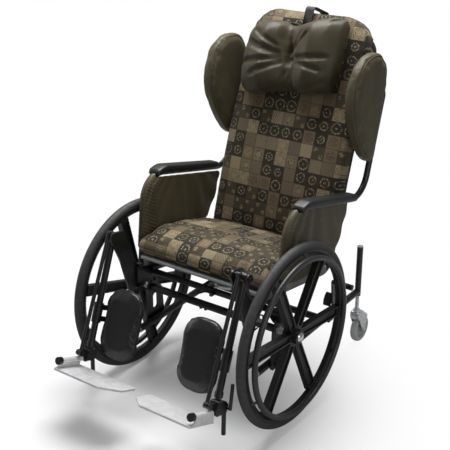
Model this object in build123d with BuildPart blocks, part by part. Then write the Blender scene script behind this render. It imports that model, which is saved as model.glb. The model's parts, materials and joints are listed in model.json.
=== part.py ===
from build123d import *
import os
from math import cos, radians, sin, tan

# Tilt-in-space wheelchair: front drive wheels, rear casters, a padded seat and back that tilt
# together on the base, and a pair of elevating leg rests.
# Millimetres. +Z is up, the chair faces -Y, +X is the sitter's left. The origin lies on the floor
# under the middle of the whole chair. Left-hand pieces are modelled and mirrored in the plane X = 0.

# ---------------------------------------------------------------- driving dimensions
AXLE_Y = -105                # drive axle, ahead of the middle of the chair
WHEEL_R = 305                # 24 inch drive wheel, half its diameter
WHEEL_X = 326.6              # centre plane of each drive wheel
TYRE_W = 30
HANDRIM_R = 258              # centre line of the handrim
HANDRIM_X = 354
SPOKE_X = 321                # centre plane of the spokes, a little inside the rim's
LEFT_SPOKE_TURN = 55.4       # where the first spoke stands, from straight back
RIGHT_SPOKE_TURN = 45.0

RAIL_X = 245                 # base side rails
RAIL_R = 12.5
RAIL_FRONT = (-195, 182)     # Y, Z of the rail's ends
RAIL_REAR = (455, 214)
POST_TOP = 390               # rear posts stand proud of the rails
POST_R = 11
CASTER_R = 52
CASTER_TRAIL = 28
CROSS_TUBE_Y = 211           # rear cross tube of the base

TILT_Y, TILT_Z = -100, 336   # axis that the seat tilts about
SEAT_SLOPE = 7               # the seat falls this much towards the back at rest
SEAT_FRONT = (-185, 457)     # Y, Z of the seat pan's top front edge
SEAT_RAIL_X = 212
PAN_THICK = 30

BACK_FOOT = (204, 431)       # front face of the back cushion: foot, bend and top, as Y, Z
BACK_BEND = (286, 725)
BACK_TOP = (472, 1209)
BACK_THICK = 80
BACK_BOARD = 6

ARM_X = 284                  # arm tubes, which curve up into the back canes
ARM_R = 10.5
ARM_FRONT = (-92, 712)       # corners of the arm tube's centre line, as Y, Z
ARM_BEND = (372, 614)
CANE_TOP = (471, 935)

KNEE_Y, KNEE_Z = -286, 556   # axis that the leg rests elevate about
LEG_X = 260
LEG_LEAN = 20.7              # the leg leans this far forward of plumb
LEG_R = 11
FOOT_DOWN = 434              # footplate's top, below the knee axis along the leg
HINGE_DOWN = 410             # footplate's hinge rod
SLIDE_FIT = 0.06             # running clearance of pins and sliding tubes, on the radius
OPEN_PIVOT = 3               # clearance at a pivot where a closed linkage is opened

AXLE_Z = WHEEL_R


def rail_z(y):
    """Height of the base rail's centre line."""
    slope = (RAIL_REAR[1] - RAIL_FRONT[1]) / (RAIL_REAR[0] - RAIL_FRONT[0])
    return RAIL_FRONT[1] + slope * (y - RAIL_FRONT[0])


# Seat frame: x across, y back along the seat, z square to it.
seat_plane = Plane(
    origin=(0, SEAT_FRONT[0], SEAT_FRONT[1]),
    x_dir=(1, 0, 0),
    z_dir=(0, sin(radians(SEAT_SLOPE)), cos(radians(SEAT_SLOPE))),
)
# Leg frame: x across, y back, z up along the leg, from the knee axis.
leg_plane = Plane(
    origin=(LEG_X, KNEE_Y, KNEE_Z),
    x_dir=(1, 0, 0),
    z_dir=(0, sin(radians(LEG_LEAN)), cos(radians(LEG_LEAN))),
)


def on_seat(x, y, z):
    return seat_plane.from_local_coords(Vector(x, y, z))


def on_leg(x, y, z):
    return leg_plane.from_local_coords(Vector(x, y, z))


def along_x(x, y, z):
    """A plane that faces +X, with its own x along the chair's Y and its own y up."""
    return Plane(origin=(x, y, z), x_dir=(0, 1, 0), z_dir=(1, 0, 0))


def side_plane(x):
    """The same plane with Y and Z kept, for outlines drawn from the side."""
    return along_x(x, 0, 0)


def save(part, name):
    part.label = name
    export_step(part, f"parts/{name}.step")


def save_pair(part, name):
    """Write a left-hand piece and its mirror image."""
    save(part, f"{name}_left")
    save(mirror(part, about=Plane.YZ), f"{name}_right")


def both(part):
    """A left-hand piece and its mirror image as one node of two solids."""
    twin = mirror(part, about=Plane.YZ)
    return Compound(children=list(part.solids()) + list(twin.solids()))


def bent_tube(points, radius, bends, bore=0):
    """A round tube along straight runs joined by tangent bends."""
    with BuildPart() as tube:
        with BuildLine() as route:
            if len(points) > 2:
                FilletPolyline(*points, radius=bends)
            else:
                Line(*points)
        with BuildSketch(route.line ^ 0):
            Circle(radius)
            if bore:
                Circle(bore, mode=Mode.SUBTRACT)
        sweep()
    return tube.part


def pin(x, y, z, radius, length):
    """A round pin from x towards +X."""
    with BuildPart() as made:
        with BuildSketch(along_x(x, y, z)):
            Circle(radius)
        extrude(amount=length)
    return made.part


os.makedirs("parts", exist_ok=True)

# ---------------------------------------------------------------- base frame
RAIL_WALL = 2
STEM_R = 7
STEM_BORE_TOP = 300

with BuildPart() as base_rail:
    add(
        bent_tube(
            [(RAIL_X, *RAIL_FRONT), (RAIL_X, RAIL_REAR[0], RAIL_REAR[1])],
            RAIL_R,
            None,
            RAIL_R - RAIL_WALL,
        )
    )
    # The rear post is welded on the rail's end; the caster's stem turns in its lower half.
    with BuildSketch(Plane.XY.offset(RAIL_REAR[1] - 16)):
        with Locations((RAIL_X, RAIL_REAR[0])):
            Circle(POST_R)
    extrude(amount=POST_TOP - RAIL_REAR[1] + 16)
    with BuildSketch(Plane.XY.offset(RAIL_REAR[1] - 17)):
        with Locations((RAIL_X, RAIL_REAR[0])):
            Circle(STEM_R + SLIDE_FIT)
    extrude(amount=STEM_BORE_TOP - RAIL_REAR[1] + 17, mode=Mode.SUBTRACT)
    with BuildSketch(Plane.XY.offset(STEM_BORE_TOP)):
        with Locations((RAIL_X, RAIL_REAR[0])):
            Circle(POST_R - RAIL_WALL)
    extrude(amount=POST_TOP - STEM_BORE_TOP + 1, mode=Mode.SUBTRACT)
save(both(base_rail.part), "base_rails")

# Plugs close the front ends of the rails and the tops of the rear posts.
rail_run = Vector(0, RAIL_REAR[0] - RAIL_FRONT[0], RAIL_REAR[1] - RAIL_FRONT[1]).normalized()
with BuildPart() as rail_plug:
    with BuildSketch(Plane(origin=(RAIL_X, *RAIL_FRONT), z_dir=rail_run)):
        Circle(RAIL_R - RAIL_WALL)
    extrude(amount=12)
    with BuildSketch(Plane(origin=(RAIL_X, *RAIL_FRONT), z_dir=-rail_run)):
        Circle(RAIL_R)
    extrude(amount=3)
    fillet(rail_plug.edges().group_by(Axis.Y)[0], 1.5)
with BuildPart() as post_plug:
    with BuildSketch(Plane.XY.offset(POST_TOP - 12)):
        with Locations((RAIL_X, RAIL_REAR[0])):
            Circle(POST_R - RAIL_WALL)
    extrude(amount=12)
    with BuildSketch(Plane.XY.offset(POST_TOP)):
        with Locations((RAIL_X, RAIL_REAR[0])):
            Circle(POST_R)
    extrude(amount=4)
    fillet(post_plug.edges().group_by(Axis.Z)[-1], 2.5)
tube_plugs = Compound(
    children=[*both(rail_plug.part).solids(), *both(post_plug.part).solids()]
)
save(tube_plugs, "tube_plugs")

# Rear cross tube, coped round the rails, with the lug that carries the gas spring.
GAS_FOOT = (200, 232)        # Y, Z of the gas spring's lower pin
GAS_PIN_R = 4
LUG_X = (7, 11)              # inner and outer faces of each lug ear
cross_z = rail_z(CROSS_TUBE_Y)


def rail_tool():
    """The rail's outside, to cope what is welded to it."""
    return bent_tube([(RAIL_X, *RAIL_FRONT), (RAIL_X, *RAIL_REAR)], RAIL_R, None)


with BuildPart() as rear_cross_tube:
    with BuildSketch(along_x(0, CROSS_TUBE_Y, cross_z)):
        Circle(RAIL_R)
    extrude(amount=RAIL_X)
    with BuildSketch(side_plane(LUG_X[0])):
        with BuildLine():
            Polyline(
                (CROSS_TUBE_Y - 11, cross_z + 4),
                (GAS_FOOT[0] - 10, GAS_FOOT[1] + 2),
                (GAS_FOOT[0] + 10, GAS_FOOT[1] + 2),
                (CROSS_TUBE_Y + 11, cross_z + 4),
                close=True,
            )
        make_face()
        with Locations(GAS_FOOT):
            Circle(10.2)
    extrude(amount=LUG_X[1] - LUG_X[0])
    add(rail_tool(), mode=Mode.SUBTRACT)
    mirror(about=Plane.YZ)
    cross_bore = pin(-RAIL_X + 15, CROSS_TUBE_Y, cross_z, RAIL_R - RAIL_WALL, 2 * RAIL_X - 30)
    add(cross_bore, mode=Mode.SUBTRACT)
    add(pin(-LUG_X[1] - 3, *GAS_FOOT, GAS_PIN_R, 2 * LUG_X[1] + 6))
save(rear_cross_tube.part, "rear_cross_tube")

# Axle plates stand on the rails' outer faces and carry the axles and the tilt axis.
PLATE_X = (257.5, 264.5)
PLATE_FOOT_Z = 168
TILT_PIN_R = 6
with BuildPart() as axle_plate:
    with BuildSketch(side_plane(PLATE_X[0])) as plate_face:
        with BuildLine():
            Polyline(
                (AXLE_Y - 34, PLATE_FOOT_Z),
                (AXLE_Y - 26, AXLE_Z),
                (TILT_Y - 15, TILT_Z),
                (TILT_Y + 15, TILT_Z),
                (AXLE_Y + 52, AXLE_Z - 18),
                (AXLE_Y + 62, PLATE_FOOT_Z),
                close=True,
            )
        make_face()
        fillet(plate_face.vertices().group_by(Axis.Z)[0], 12)
        with Locations((TILT_Y, TILT_Z)):
            Circle(15)
        with Locations((AXLE_Y + 14, 248)):
            SlotOverall(58, 24, rotation=90, mode=Mode.SUBTRACT)
        with Locations((AXLE_Y, AXLE_Z)):
            Circle(8, mode=Mode.SUBTRACT)
    extrude(amount=PLATE_X[1] - PLATE_X[0])
    # Two bolts clamp the plate to the rail.
    for bolt_y in (AXLE_Y - 12, AXLE_Y + 42):
        add(pin(PLATE_X[1], bolt_y, rail_z(bolt_y), 6, 4))
    add(pin(PLATE_X[0] - 14, TILT_Y, TILT_Z, TILT_PIN_R, PLATE_X[1] - PLATE_X[0] + 14))
    add(pin(PLATE_X[1], TILT_Y, TILT_Z, 10, 5))
save(both(axle_plate.part), "axle_plates")

# Axle cross tube between the plates, with two clamp bolts under it.
AXLE_TUBE_R = 13
with BuildPart() as axle_cross_tube:
    add(pin(-PLATE_X[0], AXLE_Y, AXLE_Z, AXLE_TUBE_R, 2 * PLATE_X[0]))
    add(pin(-PLATE_X[0], AXLE_Y, AXLE_Z, AXLE_TUBE_R - 2.5, 2 * PLATE_X[0]), mode=Mode.SUBTRACT)
    with BuildSketch(Plane.XY.offset(AXLE_Z - AXLE_TUBE_R - 5)):
        with Locations((-45, AXLE_Y), (-25, AXLE_Y)):
            RegularPolygon(6, 6)
    extrude(amount=8)
    add(pin(-60, AXLE_Y, AXLE_Z, AXLE_TUBE_R - 2.5, 60), mode=Mode.SUBTRACT)
save(axle_cross_tube.part, "axle_cross_tube")

# ---------------------------------------------------------------- drive wheels
AXLE_PIN_R = 8
HUB_X = (296, 347)           # inner and outer faces of the wheel hub
HUB_R = 27
RIM_OUT, RIM_IN = 281, 263   # tyre seat and inner edge of the rim
RIM_W = 26
SPOKES = 6

with BuildPart() as axle:
    add(pin(PLATE_X[0] - 8, AXLE_Y, AXLE_Z, AXLE_PIN_R, HUB_X[1] + 2 - PLATE_X[0] + 8))
    add(pin(PLATE_X[1], AXLE_Y, AXLE_Z, 13, 7))
    add(pin(PLATE_X[1] + 7, AXLE_Y, AXLE_Z, 10.5, HUB_X[0] - 0.5 - PLATE_X[1] - 7))
save(both(axle.part), "axles")


def wheel_section(x):
    """Half-plane through the axle, with its own x outwards along a radius and y towards +X."""
    return Plane(origin=(x, AXLE_Y, AXLE_Z), x_dir=(0, 1, 0), z_dir=(0, 0, -1))


axle_line = Axis((0, AXLE_Y, AXLE_Z), (1, 0, 0))

with BuildPart() as tyre:
    with BuildSketch(wheel_section(WHEEL_X)):
        with Locations((WHEEL_R - TYRE_W / 2, 0)):
            Circle(TYRE_W / 2)
        with Locations((RIM_OUT - 15, 0)):
            Rectangle(30, TYRE_W + 2, mode=Mode.SUBTRACT)
    revolve(axis=axle_line)
save_pair(tyre.part, "tyre")

with BuildPart() as wheel:
    with BuildSketch(wheel_section(WHEEL_X)):
        with BuildLine():
            Polyline(
                (RIM_OUT, -RIM_W / 2),
                (RIM_OUT, RIM_W / 2),
                (RIM_OUT - 7, RIM_W / 2),
                (RIM_IN, 8),
                (RIM_IN, -8),
                (RIM_OUT - 7, -RIM_W / 2),
                close=True,
            )
        make_face()
    revolve(axis=axle_line)
    # Hub, wider at the inside.
    with BuildSketch(along_x(HUB_X[0], AXLE_Y, AXLE_Z)):
        Circle(HUB_R)
    extrude(amount=HUB_X[1] - HUB_X[0], taper=4)
    # Moulded spokes: tapered beams, hollowed from both faces.
    spoke_foot, spoke_tip = 18, RIM_IN + 5
    for turn in range(SPOKES):
        angle = radians(LEFT_SPOKE_TURN + turn * 360 / SPOKES)
        out = Vector(0, cos(angle), sin(angle))
        side = Vector(0, -sin(angle), cos(angle))
        for wall, foot_w, tip_w, depth, centre in (
            (Mode.ADD, 30, 36, 22, 0),
            (Mode.SUBTRACT, 20, 26, 8, 9),
            (Mode.SUBTRACT, 20, 26, 8, -9),
        ):
            foot = spoke_foot if wall == Mode.ADD else HUB_R + 8
            tip = spoke_tip if wall == Mode.ADD else RIM_IN - 8
            centre_x = SPOKE_X + centre
            for_foot = Plane(
                origin=Vector(centre_x, AXLE_Y, AXLE_Z) + out * foot, x_dir=side, z_dir=out
            )
            for_tip = Plane(
                origin=Vector(centre_x, AXLE_Y, AXLE_Z) + out * tip, x_dir=side, z_dir=out
            )
            with BuildSketch(for_foot):
                Rectangle(foot_w, depth)
            with BuildSketch(for_tip):
                Rectangle(tip_w, depth)
            loft(mode=wall)
    hub_bore = pin(HUB_X[0] - 1, AXLE_Y, AXLE_Z, AXLE_PIN_R + SLIDE_FIT, HUB_X[1] - HUB_X[0] + 2)
    add(hub_bore, mode=Mode.SUBTRACT)
right_wheel = mirror(wheel.part, about=Plane.YZ)
right_wheel = right_wheel.rotate(axle_line, RIGHT_SPOKE_TURN - LEFT_SPOKE_TURN)
save(wheel.part, "mag_wheel_left")
save(right_wheel, "mag_wheel_right")

# Handrim on six short tabs that are bolted to the rim's outer face.
with BuildPart() as handrim:
    with BuildSketch(wheel_section(HANDRIM_X)):
        with Locations((HANDRIM_R, 0)):
            Circle(9.5)
    revolve(axis=axle_line)
    rim_face = WHEEL_X + RIM_W / 2
    for turn in range(SPOKES):
        angle = radians(LEFT_SPOKE_TURN + 30 + turn * 360 / SPOKES)
        radius = RIM_OUT - 5
        centre = Vector(rim_face, AXLE_Y + radius * cos(angle), AXLE_Z + radius * sin(angle))
        ring = Vector(HANDRIM_X, AXLE_Y + HANDRIM_R * cos(angle), AXLE_Z + HANDRIM_R * sin(angle))
        side = Vector(0, -sin(angle), cos(angle))
        with BuildSketch(Plane(origin=centre, x_dir=side, z_dir=(1, 0, 0))):
            Rectangle(14, 3.6)
        with BuildSketch(Plane(origin=ring, x_dir=side, z_dir=(1, 0, 0))):
            Rectangle(10, 3.6)
        loft()
save(handrim.part, "handrim_left")
right_handrim = mirror(handrim.part, about=Plane.YZ)
save(right_handrim.rotate(axle_line, RIGHT_SPOKE_TURN - LEFT_SPOKE_TURN), "handrim_right")

with BuildPart() as hub_cap:
    with BuildSketch(wheel_section(HUB_X[1])):
        with BuildLine():
            Line((0, 3), (0, 9))
            ThreePointArc((0, 9), (10, 7), (16, 2))
            Polyline((16, 2), (16, 0), (11, 0), (11, 3), (0, 3))
        make_face()
    revolve(axis=axle_line)
save_pair(hub_cap.part, "hub_cap")

# ---------------------------------------------------------------- casters
FORK_TOP = 134
caster_y = RAIL_REAR[0] + CASTER_TRAIL
with BuildPart() as caster_fork:
    # Pressed fork: a domed crown and two raked legs.
    with BuildSketch(side_plane(RAIL_X - 19)) as fork_side:
        with BuildLine():
            Polyline(
                (RAIL_REAR[0] - 17, FORK_TOP),
                (RAIL_REAR[0] + 17, FORK_TOP),
                (caster_y + 26, FORK_TOP - 30),
                (caster_y + 9, CASTER_R),
                (caster_y - 9, CASTER_R),
                (RAIL_REAR[0] - 17, FORK_TOP - 16),
                close=True,
            )
        make_face()
        with Locations((caster_y, CASTER_R)):
            Circle(9)
        fillet(fork_side.vertices().group_by(Axis.Y)[-1], 8)
    extrude(amount=38)
    with BuildSketch(side_plane(RAIL_X - 16)):
        with Locations((caster_y, CASTER_R)):
            Circle(CASTER_R + 5)
        with Locations((caster_y, CASTER_R - 30)):
            Rectangle(60, 60)
    extrude(amount=32, mode=Mode.SUBTRACT)
    fillet(caster_fork.edges().filter_by(Axis.Y).group_by(Axis.Z)[-1], 6)
    # Stem, bearing cups and the wheel's axle bolt.
    for bottom, height, radius in (
        (FORK_TOP - 2, STEM_BORE_TOP - 6 - FORK_TOP + 2, STEM_R),
        (FORK_TOP - 1, 8, 13),
    ):
        with BuildSketch(Plane.XY.offset(bottom)):
            with Locations((RAIL_X, RAIL_REAR[0])):
                Circle(radius)
        extrude(amount=height)
    add(pin(RAIL_X - 22, caster_y, CASTER_R, 4, 44))
    for end_x in (RAIL_X - 23, RAIL_X + 19):
        with BuildSketch(along_x(end_x, caster_y, CASTER_R)):
            RegularPolygon(7, 6)
        extrude(amount=4)
save_pair(caster_fork.part, "caster_fork")

caster_line = Axis((0, caster_y, CASTER_R), (1, 0, 0))
caster_section = Plane(origin=(RAIL_X, caster_y, CASTER_R), x_dir=(0, 1, 0), z_dir=(0, 0, -1))
CASTER_SEAT = 36
with BuildPart() as caster_wheel:
    with BuildSketch(caster_section):
        with BuildLine():
            Polyline(
                (4 + SLIDE_FIT, -15),
                (4 + SLIDE_FIT, 15),
                (11, 15),
                (13, 6),
                (28, 6),
                (32, 10),
                (CASTER_SEAT, 10),
                (CASTER_SEAT, -10),
                (32, -10),
                (28, -6),
                (13, -6),
                (11, -15),
                close=True,
            )
        make_face()
    revolve(axis=caster_line)
save_pair(caster_wheel.part, "caster_wheel")
with BuildPart() as caster_tyre:
    with BuildSketch(caster_section):
        with BuildLine():
            Polyline((CASTER_SEAT, -11), (CASTER_R - 5, -12), (CASTER_R - 2, -9))
            ThreePointArc((CASTER_R - 2, -9), (CASTER_R, 0), (CASTER_R - 2, 9))
            Polyline((CASTER_R - 2, 9), (CASTER_R - 5, 12), (CASTER_SEAT, 11), (CASTER_SEAT, -11))
        make_face()
    revolve(axis=caster_line)
save_pair(caster_tyre.part, "caster_tyre")

# ---------------------------------------------------------------- wheel locks
LOCK_Y = 240                 # lever pivot behind the drive wheel
LOCK_RISE = 24               # pivot above the rail's centre line
LOCK_X = (266, 272)          # faces of the lever plate
SHOE_Y, SHOE_Z = 226, 345
SHOE_R = 10
lock_z = rail_z(LOCK_Y) + LOCK_RISE
with BuildPart() as lock_clamp:
    with BuildSketch(Plane(origin=(RAIL_X, LOCK_Y + 12, rail_z(LOCK_Y + 12)), z_dir=-rail_run)):
        Rectangle(34, 34)
    extrude(amount=26)
    fillet(lock_clamp.edges().filter_by(Axis.Y, tolerance=5), 4)
    with BuildSketch(side_plane(RAIL_X + 7)):
        with Locations((LOCK_Y, lock_z)):
            Circle(11)
        with Locations((LOCK_Y, lock_z - 9)):
            Rectangle(22, 18)
    extrude(amount=10)
    add(rail_tool(), mode=Mode.SUBTRACT)
    add(pin(RAIL_X + 8, LOCK_Y, lock_z, 4, LOCK_X[1] + 2 - RAIL_X - 8))
    add(pin(LOCK_X[1] + 0.3, LOCK_Y, lock_z, 8, 4))
save(both(lock_clamp.part), "wheel_lock_clamps")

with BuildPart() as lock_lever:
    with BuildSketch(side_plane(LOCK_X[0])):
        with BuildLine():
            Polyline(
                (LOCK_Y - 11, lock_z),
                (SHOE_Y - 8, SHOE_Z),
                (SHOE_Y + 8, SHOE_Z),
                (LOCK_Y + 12, lock_z + 52),
                (LOCK_Y + 11, lock_z),
                close=True,
            )
        make_face()
        with Locations((LOCK_Y, lock_z)):
            Circle(11)
        with Locations((SHOE_Y, SHOE_Z)):
            Circle(8)
        with Locations((LOCK_Y, lock_z)):
            Circle(4 + SLIDE_FIT, mode=Mode.SUBTRACT)
    extrude(amount=LOCK_X[1] - LOCK_X[0])
    # Shoe bar across the tyre and the tang that carries the pedal grip.
    add(pin(LOCK_X[1], SHOE_Y, SHOE_Z, 5, 74))
    add(pin(LOCK_X[1] + 34, SHOE_Y, SHOE_Z, SHOE_R, 38))
    with BuildSketch(side_plane(RAIL_X - 8)):
        with Locations((LOCK_Y + 3, lock_z + 44)):
            Rectangle(5, 14, rotation=15)
    extrude(amount=LOCK_X[0] - RAIL_X + 8)
save_pair(lock_lever.part, "wheel_lock_lever")

with BuildPart() as lock_grip:
    grip_plane = Plane(
        origin=(RAIL_X - 2, LOCK_Y - 5, lock_z + 18), x_dir=(1, 0, 0), z_dir=(0, 0.26, 0.966)
    )
    with BuildSketch(grip_plane):
        RectangleRounded(27, 12, 5)
    with BuildSketch(grip_plane.offset(30)):
        RectangleRounded(27, 15, 6)
    with BuildSketch(grip_plane.offset(46)):
        RectangleRounded(20, 9, 4)
    loft()
    add(lock_lever.part, mode=Mode.SUBTRACT)
save_pair(lock_grip.part, "wheel_lock_grip")

# ---------------------------------------------------------------- seat and back frame
FRAME_R = 12.5
FRONT_TUBE_Y = -135
FRONT_TUBE_R = 11
REAR_TUBE_Y = 222
LUG_PLATE_X = (248, 255.5)   # seat lugs that hang on the tilt pins
GAS_HEAD = (-111, 385)       # Y, Z of the gas spring's upper pin
back_low = Vector(0, BACK_BEND[0] - BACK_FOOT[0], BACK_BEND[1] - BACK_FOOT[1]).normalized()
back_high = Vector(0, BACK_TOP[0] - BACK_BEND[0], BACK_TOP[1] - BACK_BEND[1]).normalized()
TUBE_BEHIND = BACK_THICK + BACK_BOARD + FRAME_R + 1.6


def behind(direction):
    """The rearward normal of a stretch of the back."""
    return Vector(0, direction.Z, -direction.Y)


def back_point(along, depth, x=0):
    """A point of the back, by its distance along the front face and its depth behind it."""
    low_length = (Vector(0, *BACK_BEND) - Vector(0, *BACK_FOOT)).length
    if along <= low_length:
        start = Vector(0, *BACK_FOOT)
        spot = start + back_low * along + behind(back_low) * depth
    else:
        start = Vector(0, *BACK_BEND)
        spot = start + back_high * (along - low_length) + behind(back_high) * depth
    return Vector(x, spot.Y, spot.Z)


def rail_under_seat(y):
    """Height of the seat rail's centre line."""
    start = on_seat(0, 0, -PAN_THICK - FRAME_R)
    return start.Z - (y - start.Y) * tan(radians(SEAT_SLOPE))


low_length = (Vector(0, *BACK_BEND) - Vector(0, *BACK_FOOT)).length
back_length = low_length + (Vector(0, *BACK_TOP) - Vector(0, *BACK_BEND)).length
low_foot = back_point(0, TUBE_BEHIND)
low_lean = back_low.Y / back_low.Z
# Where the seat rail's line meets the back tube's line.
corner_z = rail_under_seat(low_foot.Y - 22)
corner_y = low_foot.Y + (corner_z - low_foot.Z) * low_lean
rail_tip = (SEAT_FRONT[0] + 20, rail_under_seat(SEAT_FRONT[0] + 20))
mid_back = back_point(low_length + 0.01, TUBE_BEHIND)
top_back = back_point(back_length - 110, TUBE_BEHIND)


def seat_tube(bore=0):
    """One bent tube: the seat rail that turns up into the back."""
    points = [
        (SEAT_RAIL_X, *rail_tip),
        (SEAT_RAIL_X, corner_y, rail_under_seat(corner_y)),
        (SEAT_RAIL_X, mid_back.Y, mid_back.Z),
        (SEAT_RAIL_X, top_back.Y, top_back.Z),
    ]
    return bent_tube(points, FRAME_R, (60, 1000), bore)


front_tube_z = rail_under_seat(FRONT_TUBE_Y) - FRAME_R - FRONT_TUBE_R + 1
rear_tube_z = rail_under_seat(REAR_TUBE_Y)
RECEIVER_X = (223, 231.8)
with BuildPart() as seat_frame:
    add(seat_tube(FRAME_R - RAIL_WALL))
    # Receiver plate that the leg rest's hanger hooks on to.
    with BuildSketch(side_plane(RECEIVER_X[0])) as receiver_face:
        with BuildLine():
            Polyline(
                (-216, 368),
                (-160, 372),
                (-120, 398),
                (-120, 412),
                (-160, 418),
                (-216, 430),
                close=True,
            )
        make_face()
        fillet(receiver_face.vertices().group_by(Axis.Y)[0], 9)
    extrude(amount=RECEIVER_X[1] - RECEIVER_X[0])
    add(pin(-ARM_X, FRONT_TUBE_Y, front_tube_z, FRONT_TUBE_R, 2 * ARM_X), mode=Mode.SUBTRACT)
save(both(seat_frame.part), "seat_side_tubes")

with BuildPart() as seat_front_tube:
    add(pin(0, FRONT_TUBE_Y, front_tube_z, FRONT_TUBE_R, ARM_X - ARM_R - 2))
    # Lug that hangs on the tilt pin.
    with BuildSketch(side_plane(LUG_PLATE_X[0])):
        for y, z, radius in ((FRONT_TUBE_Y, front_tube_z, 15), (TILT_Y, TILT_Z, 13)):
            with Locations((y, z)):
                Circle(radius)
        make_hull()
        with Locations((TILT_Y, TILT_Z)):
            Circle(TILT_PIN_R + SLIDE_FIT, mode=Mode.SUBTRACT)
    extrude(amount=LUG_PLATE_X[1] - LUG_PLATE_X[0])
    # Clevis ear of the gas spring.
    with BuildSketch(side_plane(LUG_X[0])):
        for y, z, radius in ((FRONT_TUBE_Y, front_tube_z, 10), (*GAS_HEAD, 9)):
            with Locations((y, z)):
                Circle(radius)
        make_hull()
    extrude(amount=LUG_X[1] - LUG_X[0])
    mirror(about=Plane.YZ)
    add(pin(-LUG_X[1] - 3, *GAS_HEAD, GAS_PIN_R, 2 * LUG_X[1] + 6))
    # Stop for the release cable.
    with BuildSketch(side_plane(34)):
        with Locations((FRONT_TUBE_Y - 18, front_tube_z)):
            Rectangle(18, 14)
    extrude(amount=10)
save(seat_front_tube.part, "seat_front_tube")

with BuildPart() as seat_rear_tube:
    add(pin(-SEAT_RAIL_X, REAR_TUBE_Y, rear_tube_z, 10, 2 * SEAT_RAIL_X))
    add(pin(-SEAT_RAIL_X, REAR_TUBE_Y, rear_tube_z, 8, 2 * SEAT_RAIL_X), mode=Mode.SUBTRACT)
    add(seat_tube(), mode=Mode.SUBTRACT)
    add(mirror(seat_tube(), about=Plane.YZ), mode=Mode.SUBTRACT)
save(seat_rear_tube.part, "seat_rear_tube")

# Arm tubes: up from the front tube, back under the arm pad and up into the cane.
ARM_BENDS = (85, 85)
arm_route = [
    (ARM_X, FRONT_TUBE_Y + 4, front_tube_z - FRONT_TUBE_R),
    (ARM_X, *ARM_FRONT),
    (ARM_X, *ARM_BEND),
    (ARM_X, *CANE_TOP),
]


def arm_tool(radius):
    """The outside of the arm tube, to cut what is fixed on it."""
    return bent_tube(arm_route, radius, ARM_BENDS)


with BuildPart() as arm_tube:
    add(bent_tube(arm_route, ARM_R, ARM_BENDS, ARM_R - RAIL_WALL))
    add(pin(0, FRONT_TUBE_Y, front_tube_z, FRONT_TUBE_R, ARM_X - ARM_R - 2), mode=Mode.SUBTRACT)
    add(pin(ARM_X - ARM_R - 2, FRONT_TUBE_Y, front_tube_z, FRONT_TUBE_R, ARM_R + 2))
save(both(arm_tube.part), "arm_tubes")

# Lower back tube between the canes, behind the back tubes.
BACK_TUBE_R = 9
BACK_TUBE_Z = 800
cane_slope = (CANE_TOP[0] - ARM_BEND[0]) / (CANE_TOP[1] - ARM_BEND[1])
cane_y = ARM_BEND[0] + (BACK_TUBE_Z - ARM_BEND[1]) * cane_slope
high_lean = back_high.Y / back_high.Z
back_tube_y = top_back.Y + (BACK_TUBE_Z - top_back.Z) * high_lean + FRAME_R + BACK_TUBE_R - 1


def back_tube_tool(radius):
    """The outside of the lower back tube."""
    route = [
        (ARM_X, cane_y, BACK_TUBE_Z),
        (SEAT_RAIL_X + 24, back_tube_y, BACK_TUBE_Z),
        (-SEAT_RAIL_X - 24, back_tube_y, BACK_TUBE_Z),
        (-ARM_X, cane_y, BACK_TUBE_Z),
    ]
    return bent_tube(route, radius, 26)


with BuildPart() as back_tube:
    add(back_tube_tool(BACK_TUBE_R))
    for tool in (arm_tool(ARM_R), seat_tube()):
        add(tool, mode=Mode.SUBTRACT)
        add(mirror(tool, about=Plane.YZ), mode=Mode.SUBTRACT)
save(back_tube.part, "back_tube")

# Push bar: joins the tops of the canes behind the back, with a foam grip in the middle.
PUSH_BAR_Z = 968
push_y = top_back.Y + (PUSH_BAR_Z - top_back.Z) * high_lean + FRAME_R + ARM_R - 1
cane_run = Vector(0, CANE_TOP[0] - ARM_BEND[0], CANE_TOP[1] - ARM_BEND[1]).normalized()
shoulder = Vector(0, *CANE_TOP) + cane_run * 36
push_route = [
    (ARM_X, *CANE_TOP),
    (ARM_X, shoulder.Y, shoulder.Z),
    (SEAT_RAIL_X + 12, push_y, PUSH_BAR_Z),
    (-SEAT_RAIL_X - 12, push_y, PUSH_BAR_Z),
    (-ARM_X, shoulder.Y, shoulder.Z),
    (-ARM_X, *CANE_TOP),
]


def push_tool(radius):
    """The outside of the push bar's tube."""
    return bent_tube(push_route, radius, (30, 30, 30, 30))


with BuildPart() as push_bar:
    add(push_tool(ARM_R))
    add(seat_tube(), mode=Mode.SUBTRACT)
    add(mirror(seat_tube(), about=Plane.YZ), mode=Mode.SUBTRACT)
    add(pin(-150, push_y, PUSH_BAR_Z, 15, 300))
save(push_bar.part, "push_bar")

# Seat pan: a shallow moulded tray under the cushion.
PAN_HALF = 250
PAN_LONG = 410
LIP_LONG, LIP_THICK = 62, 8   # the pan thins towards its front edge
with BuildPart() as seat_pan:
    with BuildSketch(seat_plane):
        with Locations((0, PAN_LONG / 2 + 4)):
            RectangleRounded(2 * PAN_HALF, PAN_LONG, 22)
    extrude(amount=-PAN_THICK)
    fillet(seat_pan.faces().sort_by(Axis.Z)[0].edges(), 8)
    with BuildSketch(Plane(origin=on_seat(-PAN_HALF, 0, 0), x_dir=seat_plane.y_dir, z_dir=(1, 0, 0))):
        with BuildLine():
            Polyline(
                (-1, -LIP_THICK), (LIP_LONG, -PAN_THICK), (LIP_LONG, -PAN_THICK - 5),
                (-1, -PAN_THICK - 5), close=True,
            )
        make_face()
    extrude(amount=2 * PAN_HALF, mode=Mode.SUBTRACT)
save(seat_pan.part, "seat_pan")


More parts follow.
